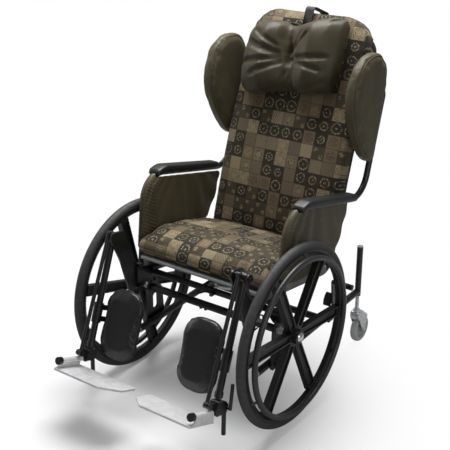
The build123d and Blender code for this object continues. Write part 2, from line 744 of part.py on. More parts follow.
# ---------------------------------------------------------------- upholstery
def pad_section(plane, half, low, high, edge, crown, bulge):
    """A cushion's section: flat underneath, sides that swell and a crowned top."""
    with BuildSketch(plane) as section:
        with BuildLine():
            Line((-half + edge, low), (half - edge, low))
            ThreePointArc((half - edge, low), (half - edge * 0.3, low + edge * 0.3), (half, low + edge))
            ThreePointArc((half, low + edge), (half + bulge, (low + high) / 2), (half, high - edge))
            ThreePointArc(
                (half, high - edge), (half - edge * 0.3, high - edge * 0.3), (half - edge, high)
            )
            ThreePointArc((half - edge, high), (0, high + crown), (-half + edge, high))
            ThreePointArc(
                (-half + edge, high), (-half + edge * 0.3, high - edge * 0.3), (-half, high - edge)
            )
            ThreePointArc((-half, high - edge), (-half - bulge, (low + high) / 2), (-half, low + edge))
            ThreePointArc(
                (-half, low + edge), (-half + edge * 0.3, low + edge * 0.3), (-half + edge, low)
            )
        make_face()
    return section.sketch


def lofted_pad(sections):
    """A pad lofted through (plane, half width, underside, top, edge radius, crown, bulge)."""
    with BuildPart() as pad:
        faces = [pad_section(*row) for row in sections]
        loft(faces, ruled=True)
    return pad.part


# Seat cushion, a little wider ahead of the side panels.
SEAT_HALF, SEAT_NOSE_HALF = 261, 267
SEAT_LONG = 388
seat_rows = []
for along, half, low, high, edge, crown in (
    (-4, SEAT_NOSE_HALF - 14, 12, 32, 9, 2),
    (1, SEAT_NOSE_HALF - 4, 3, 43, 14, 4),
    (14, SEAT_NOSE_HALF, 0.2, 53, 17, 5),
    (34, SEAT_NOSE_HALF - 1, 0.2, 62, 18, 5),
    (58, SEAT_HALF, 0.2, 70, 18, 5),
    (88, SEAT_HALF, 0.2, 79, 20, 5),
    (122, SEAT_HALF, 0.2, 84, 20, 5),
    (196, SEAT_HALF - 1, 0.2, 84, 20, 6),
    (284, SEAT_HALF - 1, 0.2, 74, 20, 8),
    (340, SEAT_HALF - 1, 0.2, 67, 18, 11),
    (SEAT_LONG - 12, SEAT_HALF - 3, 0.2, 58, 16, 12),
    (SEAT_LONG, SEAT_HALF - 14, 8, 46, 12, 8),
):
    start = on_seat(0, along, 0)
    plane = Plane(origin=start, x_dir=(-1, 0, 0), z_dir=seat_plane.y_dir)
    seat_rows.append((plane, half, low, high, edge, crown, 1.5))
save(lofted_pad(seat_rows), "seat_cushion")

# Back cushion: straight for the lumbar, then leaning back, with round top corners.
TOP_CORNER_R = 105
BEND_REACH = 50              # the back's bend is spread this far to each side
BACK_HALF = 255
back_rows = []
stations = [
    (0, BACK_HALF - 12, 12, -2),
    (12, BACK_HALF - 2, 2, 3),
    (120, BACK_HALF, 0, 9),
    (low_length - BEND_REACH, BACK_HALF - 1, 0, 9),
    (low_length + BEND_REACH, BACK_HALF - 2, 0, 9),
    (back_length - 320, BACK_HALF - 5, 0, 9),
]
top_half = BACK_HALF - 12
for turn in (0, 25, 45, 62, 76, 86):
    drop = TOP_CORNER_R * (1 - sin(radians(turn)))
    half = top_half - TOP_CORNER_R * (1 - cos(radians(turn)))
    stations.append((back_length - drop, half, turn / 9, 8 * cos(radians(turn))))
for along, half, slim, crown in stations:
    spot = back_point(along, 0)
    blend = min(max((along - low_length + BEND_REACH) / (2 * BEND_REACH), 0), 1)
    run = (back_low * (1 - blend) + back_high * blend).normalized()
    plane = Plane(origin=spot, x_dir=(-1, 0, 0), z_dir=run)
    # The plane's y points forward, so the cushion's back is at -BACK_THICK.
    back_rows.append((plane, half, -BACK_THICK + slim, -slim * 0.6, 16, crown, 1.5))
save(lofted_pad(back_rows), "back_cushion")

# Board behind the back cushion.
BOARD_HALF = 234
with BuildPart() as back_board:
    board_foot = back_point(54, BACK_THICK + 0.2)
    board_low_bend = back_point(low_length - BEND_REACH, BACK_THICK + 0.2)
    board_high_bend = back_point(low_length + BEND_REACH, BACK_THICK + 0.2)
    board_top = back_point(back_length - 60, BACK_THICK + 0.2)
    with BuildSketch(side_plane(-BOARD_HALF)):
        with BuildLine():
            Polyline(
                (board_foot.Y, board_foot.Z),
                (board_low_bend.Y, board_low_bend.Z),
                (board_high_bend.Y, board_high_bend.Z),
                (board_top.Y, board_top.Z),
                (board_top.Y + BACK_BOARD, board_top.Z),
                (board_high_bend.Y + BACK_BOARD, board_high_bend.Z),
                (board_low_bend.Y + BACK_BOARD, board_low_bend.Z),
                (board_foot.Y + BACK_BOARD, board_foot.Z),
                close=True,
            )
        make_face()
    extrude(amount=2 * BOARD_HALF)
    with BuildSketch(Plane.XZ):
        with Locations((0, (board_foot.Z + board_top.Z) / 2)):
            RectangleRounded(2 * BOARD_HALF, board_top.Z - board_foot.Z, 60)
    extrude(amount=-1000, mode=Mode.INTERSECT)
save(back_board.part, "back_board")

# Padded wings slipped over the canes, D-shaped from the side.
WING_X = (261, 307)
WING_OUTLINE = [             # corners of the outline, as Y, Z; the curve runs inside them
    (398, 720), (452, 880), (478, 985), (472, 1062), (428, 1112), (342, 1119),
    (272, 1078), (236, 1000), (238, 918), (283, 822), (345, 745),
]


def rounded_outline(corners):
    """A closed outline whose bends are as large as its straight runs allow."""
    radii = []
    for before, corner, after in zip(
        corners[-1:] + corners, corners, corners[1:] + corners[:1]
    ):
        run_in = Vector(*corner) - Vector(*before)
        run_out = Vector(*after) - Vector(*corner)
        half_turn = radians(run_in.get_angle(run_out)) / 2
        radii.append(0.46 * min(run_in.length, run_out.length) / tan(half_turn))
    return FilletPolyline(*corners, radius=radii, close=True)


with BuildPart() as wing:
    with BuildSketch(side_plane(WING_X[0])):
        with BuildLine():
            rounded_outline(WING_OUTLINE)
        make_face()
    extrude(amount=WING_X[1] - WING_X[0])
    fillet(wing.edges().filter_by(Plane.YZ), 14)
    add(arm_tool(ARM_R + 0.05), mode=Mode.SUBTRACT)
    add(push_tool(ARM_R + 0.05), mode=Mode.SUBTRACT)
    add(back_tube_tool(BACK_TUBE_R + 0.05), mode=Mode.SUBTRACT)
save(both(wing.part), "wings")

# Padded side panels under the arms; the front hem wraps the arm tube's upright as a sleeve.
PANEL_X = (264, 273.2)
SLEEVE_R = 14.5
SLEEVE_END_Y = -54
upright_lean = (arm_route[1][1] - arm_route[0][1]) / (arm_route[1][2] - arm_route[0][2])


def upright_y(z):
    """Where the arm tube's upright stands at a height."""
    return ARM_FRONT[0] + (z - ARM_FRONT[1]) * upright_lean


PANEL_FOOT_Z = 456
with BuildPart() as sleeve:
    sleeve_foot = (ARM_X, upright_y(PANEL_FOOT_Z), PANEL_FOOT_Z)
    add(bent_tube([sleeve_foot, *arm_route[1:3]], SLEEVE_R, ARM_BENDS[0]))
    with BuildSketch(Plane.XZ.offset(-SLEEVE_END_Y)):
        with Locations((ARM_X, ARM_FRONT[1])):
            Rectangle(100, 400)
    extrude(amount=-1000, mode=Mode.SUBTRACT)
with BuildPart() as side_panel:
    with BuildSketch(side_plane(PANEL_X[0])) as panel_face:
        with BuildLine():
            Polyline(
                (upright_y(PANEL_FOOT_Z), PANEL_FOOT_Z),
                (upright_y(612), 612),
                (-78, 668),
                (-44, 690),
                (300, 618),
                (262, 520),
                (222, 466),
                (145, 432),
                (54, 434),
                close=True,
            )
        make_face()
        fillet(panel_face.vertices(), 12)
    extrude(amount=PANEL_X[1] - PANEL_X[0])
    fillet(side_panel.edges().filter_by(Plane.YZ), 3.5)
    add(sleeve.part)
    add(arm_tool(ARM_R + 0.05), mode=Mode.SUBTRACT)
save(both(side_panel.part), "side_panels")

# Arm pads: moulded, grooved underneath for the tube, with a nose that droops.
ARM_PAD_X = (262.5, 312.5)
arm_run = Vector(0, ARM_BEND[0] - ARM_FRONT[0], ARM_BEND[1] - ARM_FRONT[1]).normalized()
arm_plane = Plane(origin=(ARM_X, *ARM_FRONT), x_dir=arm_run, z_dir=(1, 0, 0))
ARM_PAD_FRONT, ARM_PAD_LONG = 45, 396
with BuildPart() as arm_pad:
    with BuildSketch(arm_plane.offset(ARM_PAD_X[0] - ARM_X)):
        with BuildLine():
            FilletPolyline(
                (ARM_PAD_FRONT, -15),
                (ARM_PAD_FRONT - 1, 9),
                (ARM_PAD_FRONT + 36, 26),
                (ARM_PAD_LONG, 22),
                (ARM_PAD_LONG, -3),
                (ARM_PAD_FRONT + 28, -3),
                radius=[6, 14, 40, 11, 10, 12],
                close=True,
            )
        make_face()
    extrude(amount=ARM_PAD_X[1] - ARM_PAD_X[0])
    fillet(arm_pad.edges().filter_by(Plane.YZ), 8)
    add(arm_tool(ARM_R + 0.05), mode=Mode.SUBTRACT)
save(both(arm_pad.part), "arm_pads")

# Head pillow, drawn in to a tuft at its middle, hung from a strap over the top of the back.
PILLOW_HALF = 190
PILLOW_AT = back_length - 178
PILLOW_OFF = -8              # it hangs a little off the middle and a little askew
PILLOW_ROLL = 6
pillow_mid = back_point(PILLOW_AT, -12)
with BuildPart() as head_pillow:
    faces = []
    # Distance from the middle, reach above it, reach below it and thickness.
    for x, rise, fall, thick in (
        (-PILLOW_HALF, 86, 92, 22),
        (-PILLOW_HALF + 14, 122, 126, 58),
        (-PILLOW_HALF + 50, 140, 142, 92),
        (-PILLOW_HALF + 105, 141, 142, 100),
        (-40, 136, 136, 82),
        (0, 130, 130, 60),
        (40, 137, 134, 82),
        (PILLOW_HALF - 105, 144, 139, 100),
        (PILLOW_HALF - 50, 147, 136, 92),
        (PILLOW_HALF - 14, 138, 120, 58),
        (PILLOW_HALF, 112, 84, 22),
    ):
        # The section's own x runs up the back and its y points forward.
        at = pillow_mid + back_high * (x * tan(radians(PILLOW_ROLL))) + Vector(x + PILLOW_OFF, 0, 0)
        with BuildSketch(Plane(origin=at, x_dir=back_high, z_dir=(1, 0, 0))) as section:
            with BuildLine():
                ThreePointArc((-fall, thick * 0.25), (0, 2), (rise, thick * 0.25))
                ThreePointArc((rise, thick * 0.25), (rise * 0.82, thick * 0.72), (rise * 0.5, thick * 0.95))
                ThreePointArc((rise * 0.5, thick * 0.95), (0, thick), (-fall * 0.5, thick * 0.95))
                ThreePointArc(
                    (-fall * 0.5, thick * 0.95), (-fall * 0.82, thick * 0.72), (-fall, thick * 0.25)
                )
            make_face()
        faces.append(section.sketch)
    loft(faces, ruled=True)
save(head_pillow.part, "head_pillow")

STRAP_W, STRAP_T = 34, 2.4
with BuildPart() as pillow_strap:
    strap_start = back_point(PILLOW_AT + 112, -13)
    strap_front = back_point(back_length + 4, -13)
    strap_back = back_point(back_length + 4, BACK_THICK + BACK_BOARD + 8)
    strap_end = back_point(back_length - 150, BACK_THICK + BACK_BOARD + 8)
    with BuildSketch(side_plane(-STRAP_W / 2)):
        with BuildLine() as strap_line:
            FilletPolyline(
                (strap_start.Y, strap_start.Z),
                (strap_front.Y, strap_front.Z),
                (strap_back.Y, strap_back.Z),
                (strap_end.Y, strap_end.Z),
                radius=14,
            )
        trace(strap_line.line, line_width=STRAP_T)
    extrude(amount=STRAP_W)
save(pillow_strap.part, "pillow_strap")

# ---------------------------------------------------------------- gas spring and its release
gas_line = Vector(0, GAS_HEAD[0] - GAS_FOOT[0], GAS_HEAD[1] - GAS_FOOT[1])
gas_run = gas_line.normalized()
CYLINDER_LONG = 214
CYLINDER_R = 11
ROD_R = 5
gas_foot = Vector(0, *GAS_FOOT)
gas_head = Vector(0, *GAS_HEAD)
with BuildPart() as gas_cylinder:
    with BuildSketch(Plane(origin=gas_foot + gas_run * 18, z_dir=gas_run)):
        Circle(CYLINDER_R)
    extrude(amount=CYLINDER_LONG - 18)
    fillet(gas_cylinder.edges(), 2)
    with BuildSketch(Plane(origin=gas_foot, z_dir=gas_run)):
        Circle(6)
    extrude(amount=20)
    add(pin(-LUG_X[0] + 0.5, *GAS_FOOT, 9, 2 * LUG_X[0] - 1))
    add(pin(-LUG_X[0], *GAS_FOOT, GAS_PIN_R + SLIDE_FIT, 2 * LUG_X[0]), mode=Mode.SUBTRACT)
    with BuildSketch(Plane(origin=gas_foot + gas_run * 40, z_dir=gas_run)):
        Circle(ROD_R + SLIDE_FIT)
    extrude(amount=CYLINDER_LONG, mode=Mode.SUBTRACT)
save(gas_cylinder.part, "gas_cylinder")

with BuildPart() as gas_rod:
    with BuildSketch(Plane(origin=gas_foot + gas_run * 90, z_dir=gas_run)):
        Circle(ROD_R)
    extrude(amount=gas_line.length - 90 - 9)
    # Release head behind the eye, where the valve pin is pressed.
    with BuildSketch(Plane(origin=gas_head - gas_run * 34, x_dir=(1, 0, 0), z_dir=gas_run)):
        RectangleRounded(12, 18, 3)
    extrude(amount=24)
    add(pin(-LUG_X[0] + 0.5, *GAS_HEAD, 10, 2 * LUG_X[0] - 1))
    add(pin(-LUG_X[0], *GAS_HEAD, GAS_PIN_R + OPEN_PIVOT, 2 * LUG_X[0]), mode=Mode.SUBTRACT)
save(gas_rod.part, "gas_rod")

# Release lever: a finger bar under the push bar's grip, hinged at its outer end.
LEVER_X = 178
LEVER_DROP = 34
LEVER_LONG = 116
STOP_LONG = 26
lever_z = PUSH_BAR_Z - LEVER_DROP
with BuildPart() as lever_bracket:
    with BuildSketch(side_plane(LEVER_X - 4)):
        with Locations((push_y, PUSH_BAR_Z)):
            Circle(ARM_R + 4)
        with Locations((push_y, lever_z)):
            Circle(8)
        make_hull()
    extrude(amount=8)
    add(pin(LEVER_X - 4, push_y, PUSH_BAR_Z, ARM_R, 8), mode=Mode.SUBTRACT)
    with BuildSketch(Plane.XZ.offset(-push_y)):
        with Locations((LEVER_X, lever_z)):
            Circle(3)
    extrude(amount=-18)
    # Stop that the cable's sheath ends in.
    with BuildSketch(Plane.XY.offset(lever_z - STOP_LONG)):
        with Locations((LEVER_X, push_y)):
            Circle(5)
    extrude(amount=STOP_LONG - 4)
save(lever_bracket.part, "tilt_lever_bracket")

with BuildPart() as tilt_lever:
    with BuildSketch(Plane.XZ.offset(-push_y - 10)):
        with Locations((LEVER_X, lever_z), (LEVER_X - LEVER_LONG, lever_z - 4)):
            Circle(6.5)
        make_hull()
        with Locations((LEVER_X, lever_z)):
            Circle(3 + SLIDE_FIT, mode=Mode.SUBTRACT)
    extrude(amount=-5)
    with BuildSketch(Plane.XZ.offset(-push_y + 9)):
        with Locations((LEVER_X - LEVER_LONG + 34, lever_z - 4)):
            RectangleRounded(80, 7, 3)
    extrude(amount=-20)
save(tilt_lever.part, "tilt_lever")

# Release cable: from the stop on the front tube, looping under the pan and up behind the board.
CABLE_R = 3
board_low = back_point(90, BACK_THICK + BACK_BOARD + 8)
board_mid = back_point(low_length, BACK_THICK + BACK_BOARD + 8)
board_up = back_point(back_length - 360, BACK_THICK + BACK_BOARD + 10)
cable_route = [
    (33.9, FRONT_TUBE_Y - 18, front_tube_z),
    (12, FRONT_TUBE_Y - 18, front_tube_z),
    (-22, FRONT_TUBE_Y - 21, front_tube_z - 18),
    (-46, FRONT_TUBE_Y + 4, front_tube_z - 34),
    (-40, FRONT_TUBE_Y + 44, front_tube_z - 8),
    (20, FRONT_TUBE_Y + 92, front_tube_z + 4),
    (84, FRONT_TUBE_Y + 160, front_tube_z - 14),
    (128, FRONT_TUBE_Y + 245, front_tube_z - 34),
    (150, FRONT_TUBE_Y + 330, front_tube_z - 52),
    (154, board_low.Y - 58, board_low.Z - 152),
    (156, board_low.Y - 4, board_low.Z - 70),
    (157, board_low.Y + 3, board_low.Z),
    (158, board_mid.Y + 4, board_mid.Z - 100),
    (160, board_mid.Y + 4, board_mid.Z + 2),
    (163, board_up.Y, board_up.Z - 22),
    (173, board_up.Y + 38, board_up.Z + 2),
    (LEVER_X, push_y, lever_z - STOP_LONG - 17),
    (LEVER_X, push_y, lever_z - STOP_LONG),
]


def cord_radii(points):
    """The bend at each corner, as large as the two runs beside it allow."""
    radii = []
    for before, corner, after in zip(points, points[1:], points[2:]):
        run_in = Vector(*corner) - Vector(*before)
        run_out = Vector(*after) - Vector(*corner)
        half_turn = radians(run_in.get_angle(run_out)) / 2
        radii.append(0.45 * min(run_in.length, run_out.length) / tan(half_turn))
    return radii


tilt_cable = bent_tube(cable_route, CABLE_R, cord_radii(cable_route))
save(tilt_cable, "tilt_cable")

# ---------------------------------------------------------------- elevating leg rests
KNEE_PIN_R = 6
HANGER_X = (232, 240)        # faces of the hanger plate
ROD_TOP = (-28, 8)           # control rod's upper pivot in the leg frame: back, up
ROD_BOTTOM = (-47, -387)
ROD_X = -4                   # control rod's centre, across from the leg's
LEG_END = -366               # lower end of the leg tube
SLIDE_TOP = -190             # upper end of the tube that slides in it


def leg_side(x):
    """A plane square to the leg's width, with its own x back and y up along the leg."""
    return Plane(origin=on_leg(x, 0, 0), x_dir=leg_plane.y_dir, z_dir=(1, 0, 0))


def leg_across(z):
    """A plane square to the leg, with its own x across and y back."""
    return leg_plane.offset(z)


def leg_pin(x, y, z, radius, length):
    """A round pin across the leg, from x outwards."""
    spot = on_leg(x, y, z)
    return pin(spot.X, spot.Y, spot.Z, radius, length)


with BuildPart() as hanger:
    with BuildSketch(side_plane(HANGER_X[0])):
        with BuildLine():
            FilletPolyline(
                (KNEE_Y - 30, KNEE_Z + 26),
                (KNEE_Y + 24, KNEE_Z + 20),
                (-228, 474),
                (-172, 392),
                (-172, 352),
                (-246, 346),
                (-284, 474),
                (KNEE_Y - 40, KNEE_Z + 8),
                radius=[14, 20, 30, 12, 12, 16, 60, 14],
                close=True,
            )
        make_face()
    extrude(amount=HANGER_X[1] - HANGER_X[0])
    # Pressed recess that stiffens the plate.
    with BuildSketch(side_plane(HANGER_X[1] - 2.5)):
        with BuildLine():
            FilletPolyline(
                (KNEE_Y + 2, KNEE_Z - 26),
                (-240, 470),
                (-190, 392),
                (-190, 364),
                (-236, 360),
                (-272, 472),
                radius=8,
                close=True,
            )
        make_face()
    extrude(amount=3, mode=Mode.SUBTRACT)
    # Knee pin with its spacer, and the control rod's upper pin.
    add(leg_pin(-28 + 8, 0, 0, 11, 8.6))
    add(leg_pin(-28 + 8, 0, 0, KNEE_PIN_R, 41))
    add(leg_pin(-28 + 8, *ROD_TOP, GAS_PIN_R, 26))
    # Hooks that drop over the receiver plate, and the bent-wire latch.
    for y, z in ((-206, 438), (-206, 360)):
        with BuildSketch(side_plane(HANGER_X[0] - 16)):
            with Locations((y, z)):
                Rectangle(16, 7)
        extrude(amount=16)
with BuildPart() as latch:
    with BuildLine() as latch_line:
        FilletPolyline(
            (HANGER_X[1] + 1.8, -222, 352),
            (HANGER_X[1] + 1.8, -214, 338),
            (HANGER_X[1] + 1.8, -160, 344),
            (HANGER_X[1] + 1.8, -158, 372),
            (HANGER_X[1] + 1.8, -182, 384),
            radius=6,
        )
    with BuildSketch(latch_line.line ^ 0):
        Circle(2.4)
    sweep()
with BuildPart() as hanger_whole:
    add(hanger.part)
    add(latch.part)
save(both(hanger_whole.part), "legrest_hangers")

# Ratchet disc on the knee pin's outer end, toothed round its rim.
RATCHET_R, RATCHET_TEETH = 15, 18
with BuildPart() as ratchet:
    with BuildSketch(leg_side(12)):
        Circle(RATCHET_R)
        with PolarLocations(RATCHET_R + 0.4, RATCHET_TEETH):
            Circle(1.5, mode=Mode.SUBTRACT)
        Circle(KNEE_PIN_R, mode=Mode.SUBTRACT)
    extrude(amount=9)
    with BuildSketch(leg_side(22)):
        RegularPolygon(9, 6)
    extrude(amount=4)
    with BuildSketch(leg_side(21)):
        Circle(8)
    extrude(amount=1)
save(both(ratchet.part), "knee_ratchets")

with BuildPart() as leg_tube:
    with BuildSketch(leg_side(-11)):
        Circle(16)
    extrude(amount=22)
    with BuildSketch(leg_across(-8)):
        Circle(LEG_R)
    extrude(amount=LEG_END + 8)
    with BuildSketch(leg_across(SLIDE_TOP + 60)):
        Circle(9)
    extrude(amount=LEG_END - SLIDE_TOP - 61, mode=Mode.SUBTRACT)
    add(leg_pin(-12, 0, 0, KNEE_PIN_R + SLIDE_FIT, 24), mode=Mode.SUBTRACT)
    # Clamp ring at the lower end.
    with BuildSketch(leg_across(LEG_END)):
        Circle(LEG_R + 2.5)
        Circle(9, mode=Mode.SUBTRACT)
    extrude(amount=16)
save_pair(leg_tube.part, "leg_tube")

with BuildPart() as control_rod:
    rod_start = on_leg(ROD_X, *ROD_TOP)
    rod_end = on_leg(ROD_X, *ROD_BOTTOM)
    rod_dir = (rod_end - rod_start).normalized()
    with BuildSketch(Plane(origin=rod_start + rod_dir * 4, z_dir=rod_dir)):
        Circle(6.5)
    extrude(amount=(rod_end - rod_start).length - 8)
    for spot, eye in ((rod_start, 8), (rod_end, 10.5)):
        add(pin(spot.X - 7, spot.Y, spot.Z, eye, 14))
    for spot, hole in ((rod_start, GAS_PIN_R + SLIDE_FIT), (rod_end, GAS_PIN_R + OPEN_PIVOT)):
        add(pin(spot.X - 8, spot.Y, spot.Z, hole, 16), mode=Mode.SUBTRACT)
save_pair(control_rod.part, "control_rod")

CLAMP_TOP = -374
with BuildPart() as extension:
    with BuildSketch(leg_across(SLIDE_TOP)):
        Circle(9 - SLIDE_FIT)
    extrude(amount=CLAMP_TOP - SLIDE_TOP - 10)
    # Clamp block with the hinge rod in front and the stub tube behind.
    with BuildSketch(leg_side(-3)):
        with BuildLine():
            FilletPolyline(
                (-24, CLAMP_TOP - 22),
                (-16, CLAMP_TOP),
                (16, CLAMP_TOP),
                (36, CLAMP_TOP - 12),
                (34, CLAMP_TOP - 38),
                (-14, CLAMP_TOP - 46),
                (-24, CLAMP_TOP - 40),
                radius=5,
                close=True,
            )
        make_face()
    extrude(amount=22)
    with BuildSketch(leg_side(-14)):
        with Locations((0, CLAMP_TOP - 20)):
            RectangleRounded(34, 38, 6)
    extrude(amount=12)
    # Ear and pin of the control rod's lower pivot, outside the rod.
    with BuildSketch(leg_side(ROD_X + 8)):
        with Locations(ROD_BOTTOM):
            Circle(9)
        with Locations((-14, CLAMP_TOP - 16)):
            Circle(10)
        make_hull()
    extrude(amount=6)
    add(leg_pin(ROD_X - 8, *ROD_BOTTOM, GAS_PIN_R, 18))
    with BuildSketch(Plane(origin=on_leg(6, -10, -HINGE_DOWN), z_dir=-leg_plane.y_dir)):
        Circle(6)
    extrude(amount=114)
    with BuildSketch(Plane(origin=on_leg(6, -121, -HINGE_DOWN), z_dir=-leg_plane.y_dir)):
        Circle(12.5)
    extrude(amount=14)
    stub_top = Vector(*on_leg(10, 25, CLAMP_TOP - 16))
    with BuildSketch(Plane(origin=stub_top, z_dir=(0, -0.03, -1))):
        Circle(7)
    extrude(amount=102)
    # Clamp screw with its upright handle.
    add(leg_pin(18, 30, CLAMP_TOP - 22, 4.5, 12))
    with BuildSketch(Plane(origin=on_leg(29, 34, CLAMP_TOP - 26), z_dir=(0, 0.16, 0.987))):
        Circle(5.5)
    extrude(amount=82)
save_pair(extension.part, "leg_extension")

# Calf pad on a collar round the leg tube; it swings back out of the way.
COLLAR_TOP, COLLAR_LONG = -222, 64
PAD_MID = (-101, 12, -269)
PAD_W, PAD_H, PAD_T = 160, 238, 26
with BuildPart() as calf_bracket:
    with BuildSketch(leg_across(COLLAR_TOP)):
        Circle(15.5)
        Circle(LEG_R + SLIDE_FIT, mode=Mode.SUBTRACT)
    extrude(amount=-COLLAR_LONG)
    pad_back = PAD_MID[1] + PAD_T / 2
    for z in (COLLAR_TOP - 14, COLLAR_TOP - COLLAR_LONG + 12):
        with BuildSketch(leg_across(z - 8)):
            with BuildLine():
                Polyline(
                    (4, 14),
                    (-12, pad_back + 5),
                    (-120, pad_back + 4),
                    (-120, pad_back),
                    (-17, pad_back),
                    (-12, 9),
                    close=True,
                )
            make_face()
        extrude(amount=16)
    with BuildSketch(Plane(origin=on_leg(0, pad_back, 0), x_dir=(1, 0, 0), z_dir=leg_plane.y_dir)):
        with Locations((PAD_MID[0], -PAD_MID[2])):
            RectangleRounded(96, 150, 14)
    extrude(amount=4)
save_pair(calf_bracket.part, "calf_bracket")

with BuildPart() as calf_pad:
    pad_face = Plane(
        origin=on_leg(PAD_MID[0], PAD_MID[1] + PAD_T / 2 - 0.1, PAD_MID[2]),
        x_dir=(1, 0, 0),
        z_dir=-leg_plane.y_dir,
    )
    faces = []
    for depth, shrink in ((0, 6), (4, 1), (9, 0), (18, 1), (24, 6), (28, 16), (31, 34)):
        with BuildSketch(pad_face.offset(depth)) as ring:
            RectangleRounded(PAD_W - 2 * shrink, PAD_H - 2 * shrink, 66 - shrink)
        faces.append(ring.sketch)
    loft(faces, ruled=True)
save_pair(calf_pad.part, "calf_pad")

# Footplate of cast aluminium: plate, side flange and hinge barrel.
PLATE_T = 6
PLATE_FRONT, PLATE_REAR = -140, -17
PLATE_IN = -231
with BuildPart() as footplate:
    with BuildSketch(leg_across(-FOOT_DOWN - PLATE_T)) as plate_face:
        with BuildLine():
            FilletPolyline(
                (15, PLATE_REAR),
                (15, PLATE_FRONT),
                (-176, PLATE_FRONT),
                (PLATE_IN, PLATE_FRONT + 50),
                (PLATE_IN, PLATE_REAR),
                radius=[4, 6, 12, 12, 10],
                close=True,
            )
        make_face()
    extrude(amount=PLATE_T)
    # Hollowed underside leaves a rim and ribs.
    with BuildSketch(leg_across(-FOOT_DOWN - PLATE_T)):
        with Locations((-150, PLATE_REAR - 56), (-85, PLATE_REAR - 62), (-20, PLATE_REAR - 62)):
            RectangleRounded(52, 84, 6)
    extrude(amount=3, mode=Mode.SUBTRACT)
    hinge_front, hinge_rear = -118, -27
    with BuildSketch(Plane(origin=on_leg(6, hinge_rear, -HINGE_DOWN), z_dir=-leg_plane.y_dir)):
        Circle(9)
    extrude(amount=hinge_rear - hinge_front)
    with BuildSketch(leg_side(10)):
        with BuildLine():
            Polyline(
                (hinge_rear, -HINGE_DOWN),
                (hinge_front, -HINGE_DOWN),
                (hinge_front, -HINGE_DOWN - 15),
                (PLATE_FRONT + 6, -FOOT_DOWN - PLATE_T),
                (PLATE_REAR - 4, -FOOT_DOWN - PLATE_T),
                close=True,
            )
        make_face()
    extrude(amount=5)
    with BuildSketch(Plane(origin=on_leg(6, hinge_rear + 12, -HINGE_DOWN), z_dir=-leg_plane.y_dir)):
        Circle(6 + SLIDE_FIT)
    extrude(amount=hinge_rear - hinge_front + 13, mode=Mode.SUBTRACT)
save_pair(footplate.part, "footplate")
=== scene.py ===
import json
import math

import bmesh
import bpy
from mathutils import Matrix, Vector
from mathutils.bvhtree import BVHTree
from mathutils.kdtree import KDTree

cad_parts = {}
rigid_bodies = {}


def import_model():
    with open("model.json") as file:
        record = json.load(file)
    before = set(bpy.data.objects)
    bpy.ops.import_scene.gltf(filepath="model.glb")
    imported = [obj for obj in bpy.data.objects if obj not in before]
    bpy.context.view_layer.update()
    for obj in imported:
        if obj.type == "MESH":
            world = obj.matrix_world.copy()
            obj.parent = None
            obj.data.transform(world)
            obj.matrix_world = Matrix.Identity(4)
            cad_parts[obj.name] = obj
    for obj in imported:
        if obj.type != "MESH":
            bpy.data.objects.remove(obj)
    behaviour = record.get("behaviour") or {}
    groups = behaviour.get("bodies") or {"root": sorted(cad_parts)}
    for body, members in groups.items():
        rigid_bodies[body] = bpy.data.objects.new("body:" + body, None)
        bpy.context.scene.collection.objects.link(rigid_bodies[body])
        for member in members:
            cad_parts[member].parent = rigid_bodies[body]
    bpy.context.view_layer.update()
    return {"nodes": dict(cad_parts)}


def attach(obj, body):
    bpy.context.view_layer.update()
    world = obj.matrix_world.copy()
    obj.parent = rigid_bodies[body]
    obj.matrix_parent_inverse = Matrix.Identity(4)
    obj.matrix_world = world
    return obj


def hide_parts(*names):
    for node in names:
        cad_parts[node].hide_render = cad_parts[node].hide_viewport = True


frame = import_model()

nodes = frame["nodes"]

# ---------------------------------------------------------------- camera and studio
# The chair stands on a pale sheet of studio paper. A large soft light hangs over it, a weaker one
# stands on the camera's side, and the room around is white.
VIEW_AZIMUTH, VIEW_ELEVATION = math.radians(36.454), math.radians(22.272)
camera = bpy.data.objects.new("camera", bpy.data.cameras.new("camera"))
bpy.context.scene.collection.objects.link(camera)
camera.location = (1.7100, -2.3447, 1.7533)
towards_camera = Vector((
    math.sin(VIEW_AZIMUTH) * math.cos(VIEW_ELEVATION),
    -math.cos(VIEW_AZIMUTH) * math.cos(VIEW_ELEVATION),
    math.sin(VIEW_ELEVATION),
))
camera.rotation_mode = "QUATERNION"
camera.rotation_quaternion = (-towards_camera).to_track_quat("-Z", "Y")
camera.data.sensor_width = 36
camera.data.lens = 76.02
bpy.context.scene.camera = camera
bpy.context.scene.view_settings.view_transform = "Standard"


def softbox(name, place, target, size, watts):
    """A square soft light that faces a point."""
    lamp = bpy.data.lights.new(name, "AREA")
    lamp.shape, lamp.size, lamp.energy = "SQUARE", size, watts
    holder = bpy.data.objects.new(name, lamp)
    bpy.context.scene.collection.objects.link(holder)
    holder.location = place
    holder.rotation_mode = "QUATERNION"
    holder.rotation_quaternion = (Vector(target) - Vector(place)).to_track_quat("-Z", "Y")


softbox("overhead", (-0.35, 0.6, 3.1), (0, 0, 0.5), 2.0, 132)
softbox("camera_side", (2.9, -1.5, 1.6), (0, 0, 0.5), 1.6, 18)
softbox("far_side", (-2.9, -0.9, 1.5), (0, 0, 0.6), 1.6, 20)


def node(material, kind, inputs=None, **settings):
    """A shader node with its settings and its inputs, each a number or another's output."""
    made = material.node_tree.nodes.new(kind)
    for setting, value in settings.items():
        setattr(made, setting, value)
    for socket, value in (inputs or {}).items():
        if isinstance(value, bpy.types.NodeSocket):
            material.node_tree.links.new(value, made.inputs[socket])
        else:
            made.inputs[socket].default_value = value
    return made


